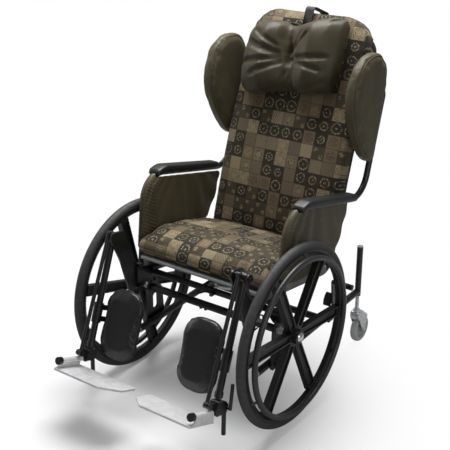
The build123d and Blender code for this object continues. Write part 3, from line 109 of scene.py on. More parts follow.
world = bpy.data.worlds.new("studio")
bpy.context.scene.world = world
world.use_nodes = True
sky = world.node_tree.nodes["Background"]
sky.inputs["Color"].default_value = (1, 1, 1, 1)
seen = world.node_tree.nodes.new("ShaderNodeLightPath")
seen_or_mirrored = world.node_tree.nodes.new("ShaderNodeMath")
seen_or_mirrored.operation = "MAXIMUM"
strength = world.node_tree.nodes.new("ShaderNodeMapRange")
strength.inputs["To Min"].default_value = 0.20
strength.inputs["To Max"].default_value = 1.0
world.node_tree.links.new(seen.outputs["Is Camera Ray"], seen_or_mirrored.inputs[0])
world.node_tree.links.new(seen.outputs["Is Transmission Ray"], seen_or_mirrored.inputs[1])
world.node_tree.links.new(seen_or_mirrored.outputs[0], strength.inputs["Value"])
world.node_tree.links.new(strength.outputs[0], sky.inputs["Strength"])

# The paper keeps the chair's shadow and fades to plain white a little way off. It is darker in
# reflections than to the camera, so that the black paint and vinyl stay deep.
bpy.ops.mesh.primitive_plane_add(size=14, location=(0, 1, 0))
paper = bpy.context.object
paper.name = "studio_paper"
bpy.ops.object.transform_apply(location=True)
sheet = bpy.data.materials.new("studio_paper")
sheet.use_nodes = True
sheet_shader = sheet.node_tree.nodes["Principled BSDF"]
sheet_shader.inputs["Roughness"].default_value = 0.7
sheet_shader.inputs["Specular IOR Level"].default_value = 0.2
sheet_place = node(sheet, "ShaderNodeTexCoord").outputs["Object"]
sheet_centred = node(
    sheet, "ShaderNodeMapping", {"Vector": sheet_place, "Location": (0.2, 0.5, 0)}
).outputs[0]
sheet_distance = node(
    sheet, "ShaderNodeVectorMath", {0: sheet_centred}, operation="LENGTH"
).outputs["Value"]
sheet_fade = node(
    sheet,
    "ShaderNodeMapRange",
    {"Value": sheet_distance, "From Min": 0.45, "From Max": 1.2, "To Min": 0.1},
    interpolation_type="SMOOTHSTEP",
).outputs[0]
sheet_seen = node(sheet, "ShaderNodeLightPath").outputs["Is Camera Ray"]
sheet_tone = node(sheet, "ShaderNodeMix", {"Factor": sheet_seen}, data_type="RGBA")
sheet_tone.inputs[6].default_value = (0.42, 0.42, 0.42, 1)
sheet_tone.inputs[7].default_value = (0.82, 0.82, 0.83, 1)
sheet.node_tree.links.new(sheet_tone.outputs[2], sheet_shader.inputs["Base Color"])
sheet_white = node(
    sheet, "ShaderNodeMath", {0: sheet_fade, 1: sheet_seen}, operation="MULTIPLY"
).outputs[0]
sheet_glow = node(sheet, "ShaderNodeEmission", {"Strength": 1.0}).outputs[0]
sheet_mix = node(
    sheet,
    "ShaderNodeMixShader",
    {0: sheet_white, 1: sheet_shader.outputs[0], 2: sheet_glow},
).outputs[0]
sheet.node_tree.links.new(
    sheet_mix, sheet.node_tree.nodes["Material Output"].inputs["Surface"]
)
paper.data.materials.append(sheet)

# ---------------------------------------------------------------- painted frame
# Steel tubes, plates and levers with a semi-gloss black powder coat, which has a faint orange
# peel and wears a little paler where hands and feet rub it.


def finish(name, colour, roughness, settings=None):
    """A material with its shader set, and its place in the object's own coordinates."""
    material = bpy.data.materials.new(name)
    material.use_nodes = True
    shader = material.node_tree.nodes["Principled BSDF"]
    shader.inputs["Base Color"].default_value = (*colour, 1)
    shader.inputs["Roughness"].default_value = roughness
    for socket, value in (settings or {}).items():
        shader.inputs[socket].default_value = value
    place = node(material, "ShaderNodeTexCoord").outputs["Object"]
    return material, shader, place


def calc(material, operation, *values):
    """One sum on numbers or outputs."""
    return node(material, "ShaderNodeMath", dict(enumerate(values)), operation=operation).outputs[0]


def mottle(material, place, size, low, high, detail=3):
    """Soft noise of that grain size in metres, from low to high."""
    noise = node(
        material, "ShaderNodeTexNoise", {"Vector": place, "Scale": 1 / size, "Detail": detail}
    ).outputs["Fac"]
    return node(
        material,
        "ShaderNodeMapRange",
        {"Value": noise, "From Min": 0.3, "From Max": 0.7, "To Min": low, "To Max": high},
    ).outputs[0]


def blend_colours(material, factor, first, second):
    """A mix of two colours or colour outputs."""
    mixed = node(material, "ShaderNodeMix", {"Factor": factor}, data_type="RGBA")
    for socket, colour in ((6, first), (7, second)):
        if isinstance(colour, bpy.types.NodeSocket):
            material.node_tree.links.new(colour, mixed.inputs[socket])
        else:
            mixed.inputs[socket].default_value = (*colour, 1)
    return mixed.outputs[2]


def relief(material, shader, height, depth, strength=1.0):
    """Bumps of that depth in metres."""
    bump = node(
        material, "ShaderNodeBump", {"Height": height, "Distance": depth, "Strength": strength}
    ).outputs[0]
    material.node_tree.links.new(bump, shader.inputs["Normal"])


def feed(material, shader, **sockets):
    """Link outputs to the shader's sockets, named without spaces."""
    for socket, source in sockets.items():
        material.node_tree.links.new(source, shader.inputs[socket.replace("_", " ")])


def dress(material, *names):
    """Give CAD nodes a material in place of their own."""
    for name in names:
        mesh = nodes[name].data
        mesh.materials.clear()
        mesh.materials.append(material)
        for face in mesh.polygons:
            face.material_index = 0


paint, paint_shader, paint_place = finish(
    "black_powder_coat", (0.008, 0.008, 0.009), 0.32, {"Coat Weight": 0.2, "Coat Roughness": 0.25}
)
rubbed = mottle(paint, paint_place, 0.05, 0.0, 1.0, 6)
feed(
    paint,
    paint_shader,
    Base_Color=blend_colours(paint, rubbed, (0.005, 0.006, 0.005), (0.009, 0.010, 0.009)),
    Roughness=mottle(paint, paint_place, 0.02, 0.28, 0.42),
)
relief(paint, paint_shader, mottle(paint, paint_place, 0.0016, 0, 1), 0.00006)
sides = ("left", "right")
dress(
    paint,
    "base_rails", "rear_cross_tube", "axle_plates", "axle_cross_tube", "wheel_lock_clamps",
    "seat_side_tubes", "arm_tubes", "seat_front_tube", "seat_rear_tube", "back_tube",
    "push_bar", "tilt_lever_bracket", "tilt_lever", "legrest_hangers", "knee_ratchets",
    "gas_cylinder",
    *(f"{piece}_{side}" for side in sides for piece in (
        "wheel_lock_lever", "leg_tube", "control_rod", "leg_extension", "calf_bracket",
    )),
)

# ---------------------------------------------------------------- drive wheels
# Black nylon wheels with moulded spokes, grey solid tyres with a fine ribbed tread, coated
# handrims on short tabs, and a chromed cap over each axle nut.
AXLE_Y, AXLE_Z = -0.105, 0.305
nylon, nylon_shader, nylon_place = finish("moulded_nylon", (0.010, 0.011, 0.010), 0.42)
feed(nylon, nylon_shader, Roughness=mottle(nylon, nylon_place, 0.03, 0.36, 0.5))
relief(nylon, nylon_shader, mottle(nylon, nylon_place, 0.0008, 0, 1), 0.00008)
dress(nylon, "mag_wheel_left", "mag_wheel_right")

tyre_rubber, tyre_shader, tyre_place = finish("tyre_rubber", (0.035, 0.036, 0.036), 0.62)
from_axle = node(
    tyre_rubber, "ShaderNodeVectorMath", {0: tyre_place, 1: (0, -AXLE_Y, -AXLE_Z)}, operation="ADD"
).outputs[0]
apart = node(tyre_rubber, "ShaderNodeSeparateXYZ", {0: from_axle})
radius = calc(
    tyre_rubber, "SQRT",
    calc(
        tyre_rubber, "ADD",
        calc(tyre_rubber, "POWER", apart.outputs["Y"], 2.0),
        calc(tyre_rubber, "POWER", apart.outputs["Z"], 2.0),
    ),
)
RIB_PITCH = 0.0022
ribs = calc(tyre_rubber, "SINE", calc(tyre_rubber, "MULTIPLY", radius, math.tau / RIB_PITCH))
scuffed = mottle(tyre_rubber, tyre_place, 0.012, 0, 1, 5)
feed(
    tyre_rubber,
    tyre_shader,
    Base_Color=blend_colours(tyre_rubber, scuffed, (0.030, 0.031, 0.031), (0.046, 0.047, 0.047)),
    Roughness=mottle(tyre_rubber, tyre_place, 0.01, 0.55, 0.7),
)
relief(tyre_rubber, tyre_shader, ribs, 0.0003, 0.5)
dress(tyre_rubber, "tyre_left", "tyre_right")

coated, coated_shader, coated_place = finish(
    "handrim_coat", (0.022, 0.022, 0.023), 0.38, {"Coat Weight": 0.2, "Coat Roughness": 0.3}
)
feed(coated, coated_shader, Roughness=mottle(coated, coated_place, 0.015, 0.32, 0.46))
relief(coated, coated_shader, mottle(coated, coated_place, 0.0012, 0, 1), 0.00005)
dress(coated, "handrim_left", "handrim_right")

chrome, chrome_shader, chrome_place = finish(
    "chrome_plate", (0.78, 0.79, 0.80), 0.12, {"Metallic": 1.0}
)
feed(chrome, chrome_shader, Roughness=mottle(chrome, chrome_place, 0.006, 0.08, 0.2))
dress(chrome, "hub_cap_left", "hub_cap_right", "gas_rod")

# ---------------------------------------------------------------- casters
# Bright zinc forks, grey nylon centres and light grey solid tyres.
zinc, zinc_shader, zinc_place = finish("bright_zinc", (0.62, 0.63, 0.65), 0.3, {"Metallic": 0.6})
feed(
    zinc,
    zinc_shader,
    Base_Color=blend_colours(
        zinc, mottle(zinc, zinc_place, 0.01, 0, 1), (0.55, 0.56, 0.57), (0.74, 0.75, 0.77)
    ),
    Roughness=mottle(zinc, zinc_place, 0.004, 0.22, 0.4),
)
dress(zinc, "caster_fork_left", "caster_fork_right", "axles")

caster_rubber, caster_shader, caster_place = finish("caster_rubber", (0.36, 0.37, 0.37), 0.55)
feed(
    caster_rubber,
    caster_shader,
    Base_Color=blend_colours(
        caster_rubber,
        mottle(caster_rubber, caster_place, 0.008, 0, 1, 5),
        (0.40, 0.41, 0.41),
        (0.52, 0.53, 0.53),
    ),
)
relief(caster_rubber, caster_shader, mottle(caster_rubber, caster_place, 0.001, 0, 1), 0.0001)
dress(caster_rubber, "caster_tyre_left", "caster_tyre_right")

grey_nylon, grey_nylon_shader, grey_nylon_place = finish("grey_nylon", (0.33, 0.33, 0.34), 0.45)
relief(grey_nylon, grey_nylon_shader, mottle(grey_nylon, grey_nylon_place, 0.0007, 0, 1), 0.00008)
dress(grey_nylon, "caster_wheel_left", "caster_wheel_right", "tube_plugs")

# ---------------------------------------------------------------- seat pan and back board
# A moulded grey plastic tray under the seat and a dark moulded board behind the back.
pan_plastic, pan_shader, pan_place = finish("pan_plastic", (0.20, 0.21, 0.20), 0.5)
feed(pan_plastic, pan_shader, Roughness=mottle(pan_plastic, pan_place, 0.02, 0.42, 0.58))
relief(pan_plastic, pan_shader, mottle(pan_plastic, pan_place, 0.0009, 0, 1), 0.00012)
dress(pan_plastic, "seat_pan")
board_plastic, board_shader, board_place = finish("board_plastic", (0.03, 0.03, 0.031), 0.55)
feed(board_plastic, board_shader, Roughness=mottle(board_plastic, board_place, 0.02, 0.48, 0.62))
relief(board_plastic, board_shader, mottle(board_plastic, board_place, 0.0009, 0, 1), 0.00015)
dress(board_plastic, "back_board")

# ---------------------------------------------------------------- footplates
# Cast aluminium, ground bright, with fine tread lines.
cast, cast_shader, cast_place = finish(
    "polished_casting", (0.80, 0.80, 0.81), 0.28, {"Metallic": 0.35}
)
TREAD_PITCH = 0.006
cast_lines = calc(
    cast, "SINE",
    calc(
        cast, "MULTIPLY",
        node(cast, "ShaderNodeSeparateXYZ", {0: cast_place}).outputs["X"],
        math.tau / TREAD_PITCH,
    ),
)
feed(
    cast,
    cast_shader,
    Base_Color=blend_colours(
        cast, mottle(cast, cast_place, 0.02, 0, 1, 5), (0.70, 0.70, 0.71), (0.85, 0.85, 0.86)
    ),
    Roughness=mottle(cast, cast_place, 0.02, 0.28, 0.4),
)
relief(cast, cast_shader, cast_lines, 0.0003, 0.35)
dress(cast, "footplate_left", "footplate_right")

# ---------------------------------------------------------------- rubber grips and the cable
# Dipped rubber on the wheel lock levers and the sheath of the release cable.
grip, grip_shader, grip_place = finish("grip_rubber", (0.02, 0.02, 0.021), 0.6)
relief(grip, grip_shader, mottle(grip, grip_place, 0.0015, 0, 1), 0.0002)
dress(grip, "wheel_lock_grip_left", "wheel_lock_grip_right", "tilt_cable")


# ---------------------------------------------------------------- seat cushion
# A foam block in a sewn cover of printed upholstery cloth. The cover is drawn tight over a
# crowned top and a full nose, and lies flat on the pan.
def only(*objects):
    """Select these objects and nothing else, the first one active."""
    for other in bpy.context.scene.objects:
        other.select_set(False)
    for chosen in objects:
        chosen.select_set(True)
    bpy.context.view_layer.objects.active = objects[0]


def apply_all(piece):
    """Apply every modifier on a piece."""
    only(piece)
    for modifier in list(piece.modifiers):
        bpy.ops.object.modifier_apply(modifier=modifier.name)


def pad_from(node_name, name, keep=None):
    """A closed copy of a CAD solid, or of the solids of it whose points pass keep."""
    shape = bmesh.new()
    shape.from_mesh(nodes[node_name].data)
    if keep:
        bmesh.ops.delete(shape, geom=[v for v in shape.verts if not keep(v.co)], context="VERTS")
    bmesh.ops.remove_doubles(shape, verts=shape.verts, dist=1e-5)
    mesh = bpy.data.meshes.new(name)
    shape.to_mesh(mesh)
    shape.free()
    pad = bpy.data.objects.new(name, mesh)
    bpy.context.scene.collection.objects.link(pad)
    return pad


def remesh(pad, voxel):
    """Give a pad an even mesh of that grain in metres."""
    even = pad.modifiers.new("even", "REMESH")
    even.mode, even.voxel_size = "VOXEL", voxel
    apply_all(pad)


def stuff(pad, slim, voxel, cap, pressure=4.0, stiff=15.0, frames=20):
    """Fill a pad: it is drawn in by slim, meshed evenly, blown up as cloth and capped."""
    remesh(pad, voxel)
    for vertex, normal in [(v, v.normal.copy()) for v in pad.data.vertices]:
        vertex.co -= normal * slim
    before = [v.co.copy() for v in pad.data.vertices]
    filled = pad.modifiers.new("filled", "CLOTH")
    filled.settings.use_pressure = True
    filled.settings.uniform_pressure_force = pressure
    filled.settings.tension_stiffness = stiff
    filled.settings.compression_stiffness = stiff
    filled.settings.effector_weights.gravity = 0
    filled.point_cache.frame_start, filled.point_cache.frame_end = 1, frames
    for step in range(1, frames + 1):
        bpy.context.scene.frame_set(step)
    apply_all(pad)
    bpy.context.scene.frame_set(1)
    for vertex, start in zip(pad.data.vertices, before):
        moved = vertex.co - start
        if moved.length > cap:
            vertex.co = start + moved.normalized() * cap


def soften(pad):
    """Split every face once and shade the piece smooth."""
    finer = pad.modifiers.new("finer", "SUBSURF")
    finer.levels = finer.render_levels = 1
    apply_all(pad)
    bpy.ops.object.shade_smooth()


def ramp(value, start, width):
    """0 up to start, then rising to 1 over that width."""
    return min(max((value - start) / width, 0), 1)


def cloth_map(pad, place):
    """Store where each point lies on the flat cloth, in metres, for the print."""
    spots = pad.data.attributes.new("cloth", "FLOAT_VECTOR", "POINT")
    for vertex, spot in zip(pad.data.vertices, spots.data):
        spot.vector = place(vertex.co)


def rim_of(node_name, direction, keep):
    """The rim of a CAD solid's flat face that looks along direction, as points in order."""
    shape = bmesh.new()
    shape.from_mesh(nodes[node_name].data)
    bmesh.ops.remove_doubles(shape, verts=shape.verts, dist=1e-5)
    flat = {
        f for f in shape.faces
        if f.normal.dot(direction) > 0.999 and keep(f.calc_center_median())
    }
    rim = [e for e in shape.edges if sum(f in flat for f in e.link_faces) == 1]
    loop, spot = [rim[0].verts[0]], rim[0].verts[1]
    left = set(rim[1:])
    while spot is not loop[0]:
        loop.append(spot)
        step = next((e for e in spot.link_edges if e in left), None)
        if step is None:
            break
        left.discard(step)
        spot = step.other_vert(spot)
    points = [v.co.copy() for v in loop]
    shape.free()
    return points


def even_loop(points, spacing):
    """The closed line through points, in even steps."""
    lengths = [(b - a).length for a, b in zip(points, points[1:] + points[:1])]
    count = max(int(sum(lengths) / spacing), 8)
    step = sum(lengths) / count
    spaced, at, index = [], 0.0, 0
    for number in range(count):
        target = number * step
        while at + lengths[index] < target:
            at += lengths[index]
            index += 1
        start, end = points[index], points[(index + 1) % len(points)]
        spaced.append(start.lerp(end, (target - at) / lengths[index]))
    return spaced


def stitch(pad, loop, depth, reach):
    """Draw the cover in along a seam, a little unevenly, and return the seam's line."""
    surface = BVHTree.FromObject(pad, bpy.context.evaluated_depsgraph_get())
    line = [surface.find_nearest(point)[:2] for point in loop]
    near = KDTree(len(line))
    for number, (spot, _) in enumerate(line):
        near.insert(spot, number)
    near.balance()
    for vertex in pad.data.vertices:
        _, number, gap = near.find(vertex.co)
        if gap < reach:
            pucker = 1 + 0.35 * math.sin(number * 1.9)
            vertex.co -= vertex.normal * depth * pucker * (1 - (gap / reach) ** 2) ** 2
    return [spot - normal * depth * 0.6 for spot, normal in line]


def piping(name, line, thickness, material, cyclic=True):
    """A welt cord sewn along a line."""
    curve = bpy.data.curves.new(name, "CURVE")
    curve.dimensions = "3D"
    curve.bevel_depth, curve.bevel_resolution = thickness / 2, 2
    run = curve.splines.new("POLY")
    run.points.add(len(line) - 1)
    for point, spot in zip(run.points, line):
        point.co = (*spot, 1)
    run.use_cyclic_u = cyclic
    welt = bpy.data.objects.new(name, curve)
    bpy.context.scene.collection.objects.link(welt)
    only(welt)
    bpy.ops.object.convert(target="MESH")
    bpy.ops.object.shade_smooth()
    welt.data.materials.append(material)
    return welt


SEAT_SLOPE = math.radians(7)
SEAT_FRONT = Vector((0, -0.185, 0.457))
SEAT_BACKWARD = Vector((0, math.cos(SEAT_SLOPE), -math.sin(SEAT_SLOPE)))
SEAT_UP = Vector((0, math.sin(SEAT_SLOPE), math.cos(SEAT_SLOPE)))
SEAT_TOP = 0.072
seat_pad = pad_from("seat_cushion", "seat_cushion_cover")
stuff(seat_pad, 0.004, 0.006, 0.009)
for vertex in seat_pad.data.vertices:
    height = (vertex.co - SEAT_FRONT).dot(SEAT_UP)
    if height < 0.0004:
        vertex.co += SEAT_UP * (0.0004 - height)
SEAM_RISE, SEAM_BACK = 0.020, 0.380
seat_ring = [
    SEAT_FRONT + Vector((x, 0, 0)) + SEAT_BACKWARD * back + SEAT_UP * SEAM_RISE
    for x, back in (
        (0.0, -0.02), (0.24, -0.02), (0.275, -0.012), (0.285, 0.02), (0.285, 0.2),
        (0.28, SEAM_BACK), (0.25, SEAM_BACK + 0.02), (-0.25, SEAM_BACK + 0.02),
        (-0.28, SEAM_BACK), (-0.285, 0.2), (-0.285, 0.02), (-0.275, -0.012), (-0.24, -0.02),
    )
]
seat_seam = stitch(seat_pad, even_loop(seat_ring, 0.006), 0.0022, 0.010)
soften(seat_pad)


def on_seat_cloth(point):
    """Across, and back along the top, round the nose and down the sides."""
    back = (point - SEAT_FRONT).dot(SEAT_BACKWARD)
    drop = max(SEAT_TOP - (point - SEAT_FRONT).dot(SEAT_UP), 0)
    beside = max(abs(point.x) - 0.25, 0) > 0 and back > 0.02
    across = point.x + math.copysign(drop, point.x) * (1 if beside else 0)
    return Vector((across, back if beside else back - (drop if back < 0.02 else 0), 0))


cloth_map(seat_pad, on_seat_cloth)

printed = bpy.data.materials.new("printed_upholstery")
printed.use_nodes = True
printed_shader = printed.node_tree.nodes["Principled BSDF"]
printed_shader.inputs["Roughness"].default_value = 0.8
printed_shader.inputs["Sheen Weight"].default_value = 0.08
printed_shader.inputs["Sheen Roughness"].default_value = 0.5
printed_shader.inputs["Specular IOR Level"].default_value = 0.25
PRINT_SQUARE = 0.046
DARK_BROWN, BARK, TAUPE = (0.020, 0.017, 0.010), (0.056, 0.044, 0.024), (0.145, 0.115, 0.068)
TAN, SAND, ROSE = (0.265, 0.208, 0.122), (0.25, 0.205, 0.122), (0.150, 0.104, 0.060)
cloth_place = node(printed, "ShaderNodeAttribute", attribute_name="cloth").outputs["Vector"]
wander = node(
    printed, "ShaderNodeTexNoise", {"Vector": cloth_place, "Scale": 220.0, "Detail": 2.0}
).outputs["Color"]
wander = node(
    printed, "ShaderNodeVectorMath", {0: wander, 1: (0.5, 0.5, 0.5)}, operation="SUBTRACT"
).outputs[0]
wander = node(
    printed, "ShaderNodeVectorMath", {0: wander, "Scale": 0.0005}, operation="SCALE"
).outputs[0]
drawn = node(
    printed, "ShaderNodeVectorMath", {0: cloth_place, 1: wander}, operation="ADD"
).outputs[0]
in_squares = node(
    printed, "ShaderNodeVectorMath", {0: drawn, "Scale": 1 / PRINT_SQUARE}, operation="SCALE"
).outputs[0]
square = node(printed, "ShaderNodeVectorMath", {0: in_squares}, operation="FLOOR").outputs[0]
inside = node(printed, "ShaderNodeVectorMath", {0: in_squares}, operation="FRACTION").outputs[0]
inside = node(
    printed, "ShaderNodeVectorMath", {0: inside, 1: (0.5, 0.5, 0)}, operation="SUBTRACT"
).outputs[0]
from_middle = node(
    printed, "ShaderNodeVectorMath", {0: inside}, operation="LENGTH"
).outputs["Value"]
chance = node(printed, "ShaderNodeTexWhiteNoise", {"Vector": square}, noise_dimensions="2D")
chance_apart = node(printed, "ShaderNodeSeparateColor", {0: chance.outputs["Color"]})
size_pick, motif_pick, tint_pick = (chance_apart.outputs[channel] for channel in range(3))
RINGS, DISCS, QUARTERS = (-0.1, 0.30), (0.30, 0.44), (0.44, 0.58)
TARGETS, HATCHED, BLOTCHED = (0.58, 0.72), (0.72, 0.86), (0.86, 1.1)


def picked(band):
    """1 in the squares whose motif number lies in the band."""
    above = calc(printed, "GREATER_THAN", motif_pick, band[0])
    return calc(printed, "MULTIPLY", above, calc(printed, "LESS_THAN", motif_pick, band[1]))


ground = node(printed, "ShaderNodeValToRGB", {"Fac": motif_pick})
ground.color_ramp.interpolation = "CONSTANT"
for stop, colour in (
    (0.0, DARK_BROWN), (DISCS[0], TAUPE), (QUARTERS[0], BARK), (TARGETS[0], TAN),
    (HATCHED[0], TAUPE), (BLOTCHED[0], ROSE),
):
    mark = ground.color_ramp.elements.new(stop) if stop else ground.color_ramp.elements[0]
    mark.color = (*colour, 1)
ground.color_ramp.elements[-1].position = 0.999
ground.color_ramp.elements[-1].color = (*ROSE, 1)
ink = blend_colours(printed, calc(printed, "LESS_THAN", motif_pick, QUARTERS[1]), BARK, SAND)
ink = blend_colours(printed, calc(printed, "GREATER_THAN", tint_pick, 0.72), ink, TAN)
ring_radius = calc(printed, "MULTIPLY_ADD", size_pick, 0.12, 0.26)
ring = calc(printed, "COMPARE", from_middle, ring_radius, 0.06)
dot = calc(printed, "LESS_THAN", from_middle, 0.10)
disc = calc(printed, "LESS_THAN", from_middle, 0.37)
fine_ring = calc(printed, "COMPARE", from_middle, 0.25, 0.025)
quarters = node(
    printed, "ShaderNodeVectorMath", {0: in_squares, "Scale": 2.0}, operation="SCALE"
).outputs[0]
quarter_in = node(printed, "ShaderNodeVectorMath", {0: quarters}, operation="FRACTION").outputs[0]
quarter_in = node(
    printed, "ShaderNodeVectorMath", {0: quarter_in, 1: (0.5, 0.5, 0)}, operation="SUBTRACT"
).outputs[0]
quarter_disc = calc(
    printed, "LESS_THAN",
    node(printed, "ShaderNodeVectorMath", {0: quarter_in}, operation="LENGTH").outputs["Value"],
    0.33,
)
checks = node(printed, "ShaderNodeTexChecker", {"Vector": quarters, "Scale": 1.0}).outputs["Fac"]
hatch_apart = node(printed, "ShaderNodeSeparateXYZ", {0: inside})
hatch = calc(
    printed, "GREATER_THAN",
    calc(
        printed, "SINE",
        calc(
            printed, "MULTIPLY",
            calc(printed, "ADD", hatch_apart.outputs["X"], hatch_apart.outputs["Y"]),
            28.0,
        ),
    ),
    0.45,
)
cloth_colour = ground.outputs["Color"]
for band, shape in (
    (RINGS, ring),
    (RINGS, dot),
    (DISCS, disc),
    (QUARTERS, calc(printed, "MULTIPLY", quarter_disc, checks)),
    (TARGETS, fine_ring),
    (TARGETS, calc(printed, "COMPARE", from_middle, 0.40, 0.03)),
    (HATCHED, calc(printed, "MULTIPLY", hatch, 0.6)),
    (BLOTCHED, calc(printed, "MULTIPLY", disc, 0.8)),
):
    cloth_colour = blend_colours(
        printed, calc(printed, "MULTIPLY", shape, picked(band)), cloth_colour, ink
    )
cloth_colour = blend_colours(
    printed,
    calc(
        printed, "MULTIPLY",
        picked(DISCS),
        calc(printed, "COMPARE", from_middle, 0.27, 0.035),
    ),
    cloth_colour,
    DARK_BROWN,
)
edge_apart = node(
    printed, "ShaderNodeSeparateXYZ",
    {0: node(printed, "ShaderNodeVectorMath", {0: inside}, operation="ABSOLUTE").outputs[0]},
)
edge = calc(
    printed, "GREATER_THAN",
    calc(printed, "MAXIMUM", edge_apart.outputs["X"], edge_apart.outputs["Y"]),
    0.475,
)
cloth_colour = blend_colours(
    printed, calc(printed, "MULTIPLY", edge, 0.6), cloth_colour, DARK_BROWN
)
slub = node(
    printed, "ShaderNodeTexNoise", {"Vector": cloth_place, "Scale": 900.0, "Detail": 2.0}
).outputs["Fac"]
cloth_colour = blend_colours(
    printed,
    node(
        printed,
        "ShaderNodeMapRange",
        {"Value": slub, "From Min": 0.4, "From Max": 0.75, "To Max": 0.25},
    ).outputs[0],
    cloth_colour,
    BARK,
)
feed(printed, printed_shader, Base_Color=cloth_colour)
THREAD = 0.0011
threads = node(printed, "ShaderNodeSeparateXYZ", {0: cloth_place})
weave = calc(
    printed, "MULTIPLY",
    calc(printed, "SINE", calc(printed, "MULTIPLY", threads.outputs["X"], math.tau / THREAD)),
    calc(printed, "SINE", calc(printed, "MULTIPLY", threads.outputs["Y"], math.tau / THREAD)),
)
relief(printed, printed_shader, weave, 0.0003, 0.5)
seat_pad.data.materials.append(printed)
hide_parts("seat_cushion")
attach(seat_pad, "seat")
CUSHION_WELT = 0.0035
seat_welt = piping("seat_cushion_welt", seat_seam, CUSHION_WELT, printed)
cloth_map(seat_welt, on_seat_cloth)
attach(seat_welt, "seat")

# ---------------------------------------------------------------- back cushion
# A long foam cushion in the same cloth, boxed round its edge, that rests on the board.
BACK_FOOT = Vector((0, 0.204, 0.431))
BACK_BEND = Vector((0, 0.286, 0.725))
BACK_TOP = Vector((0, 0.472, 1.209))
BACK_THICK = 0.080
back_low = (BACK_BEND - BACK_FOOT).normalized()
back_high = (BACK_TOP - BACK_BEND).normalized()
back_forward = Vector((0, -back_high.z, back_high.y))
low_forward = Vector((0, -back_low.z, back_low.y))
low_long = (BACK_BEND - BACK_FOOT).length
back_pad = pad_from("back_cushion", "back_cushion_cover")
stuff(back_pad, 0.005, 0.008, 0.009)
for vertex in back_pad.data.vertices:
    depth = min(
        -(vertex.co - BACK_BEND).dot(back_forward), -(vertex.co - BACK_BEND).dot(low_forward)
    )
    if depth > BACK_THICK - 0.0006 and vertex.co.z < 1.14:
        forward = back_forward if vertex.co.z > BACK_BEND.z else low_forward
        vertex.co += forward * (depth - BACK_THICK + 0.0006)
high_long = (BACK_TOP - BACK_BEND).length
TOP_CORNER = 0.105
back_seams = []
for seam_depth in (0.012, BACK_THICK - 0.014):
    up_side = [
        BACK_FOOT + back_low * along - low_forward * seam_depth for along in (0.02, 0.15, 0.28)
    ]
    up_side += [
        BACK_BEND + back_high * along - back_forward * seam_depth
        for along in (0.05, 0.2, high_long - TOP_CORNER)
    ]
    right_side = [spot + Vector((0.275, 0, 0)) for spot in up_side]
    corner_mid = BACK_BEND + back_high * (high_long - TOP_CORNER) - back_forward * seam_depth
    for turn in range(15, 91, 15):
        swing = math.radians(turn)
        right_side.append(
            corner_mid
            + back_high * (TOP_CORNER + 0.02) * math.sin(swing)
            + Vector((0.14 + 0.135 * math.cos(swing), 0, 0))
        )
    left_side = [Vector((-spot.x, spot.y, spot.z)) for spot in reversed(right_side)]
    back_ring = even_loop(right_side + left_side, 0.007)
    back_seams.append(stitch(back_pad, back_ring, 0.002, 0.010))
soften(back_pad)
BACK_CLOTH_HALF = 0.243


def on_back_cloth(point):
    """Across, and up the front, over the top edge and round the sides."""
    if point.z > BACK_BEND.z:
        up = (point - BACK_BEND).dot(back_high) + low_long
        depth = -(point - BACK_BEND).dot(back_forward)
    else:
        up = (point - BACK_FOOT).dot(back_low)
        depth = -(point - BACK_FOOT).dot(low_forward)
    beside = abs(point.x) > BACK_CLOTH_HALF
    across = point.x + (math.copysign(max(depth, 0), point.x) if beside else 0)
    return Vector((across + 0.011, up + (max(depth, 0) if up > 0.78 and not beside else 0), 0))


cloth_map(back_pad, on_back_cloth)
back_pad.data.materials.append(printed)
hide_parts("back_cushion")
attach(back_pad, "seat")
for place_name, seam in zip(("front", "rear"), back_seams):
    back_welt = piping(f"back_cushion_welt_{place_name}", seam, CUSHION_WELT, printed)
    cloth_map(back_welt, on_back_cloth)
    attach(back_welt, "seat")

# ---------------------------------------------------------------- wings
# Foam pads in olive satin, slipped over the back canes, with a stitched seam round each face.
def satin_cloth(name, darker, paler):
    """Close-woven olive satin that wanders between two tones."""
    satin, shader, place = finish(
        name, paler, 0.46, {"Sheen Weight": 0.06, "Sheen Roughness": 0.4, "Specular IOR Level": 0.3}
    )
    feed(
        satin,
        shader,
        Base_Color=blend_colours(satin, mottle(satin, place, 0.05, 0, 1, 5), darker, paler),
        Roughness=mottle(satin, place, 0.01, 0.4, 0.55),
    )
    weave = node(satin, "ShaderNodeTexNoise", {"Vector": place, "Scale": 1400.0, "Detail": 2.0})
    relief(satin, shader, weave.outputs["Fac"], 0.00025, 0.6)
    return satin


satin = satin_cloth("olive_satin", (0.064, 0.054, 0.028), (0.084, 0.071, 0.038))


for side, sign in (("left", 1), ("right", -1)):
    wing = pad_from("wings", f"wing_cover_{side}", lambda spot, sign=sign: spot.x * sign > 0)
    stuff(wing, 0.004, 0.006, 0.008)
    for direction in (-1, 1):
        rim = rim_of(
            "wings", Vector((direction, 0, 0)), lambda spot, sign=sign: spot.x * sign > 0
        )
        seam = stitch(wing, even_loop(rim, 0.006), 0.0022, 0.009)
        face = "in" if direction * sign < 0 else "out"
        welt = piping(f"wing_seam_{side}_{face}", seam, 0.0032, satin)
        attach(welt, "seat")
    soften(wing)
    wing.data.materials.append(satin)
    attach(wing, "seat")
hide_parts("wings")

# ---------------------------------------------------------------- side panels
# Thin padded panels in the same satin under the arm tubes, sewn round and slightly slack, with
# soft folds that fan out downwards and a gathered sleeve round the upright of the arm tube.
FOLD_DEPTH, FOLD_PITCH, RIPPLE_PITCH = 0.0024, 0.15, 0.047
SLEEVE_X, SLEEVE_SKIN, GATHER_DEPTH, GATHER_PITCH = 0.284, 0.0115, 0.0011, 0.013
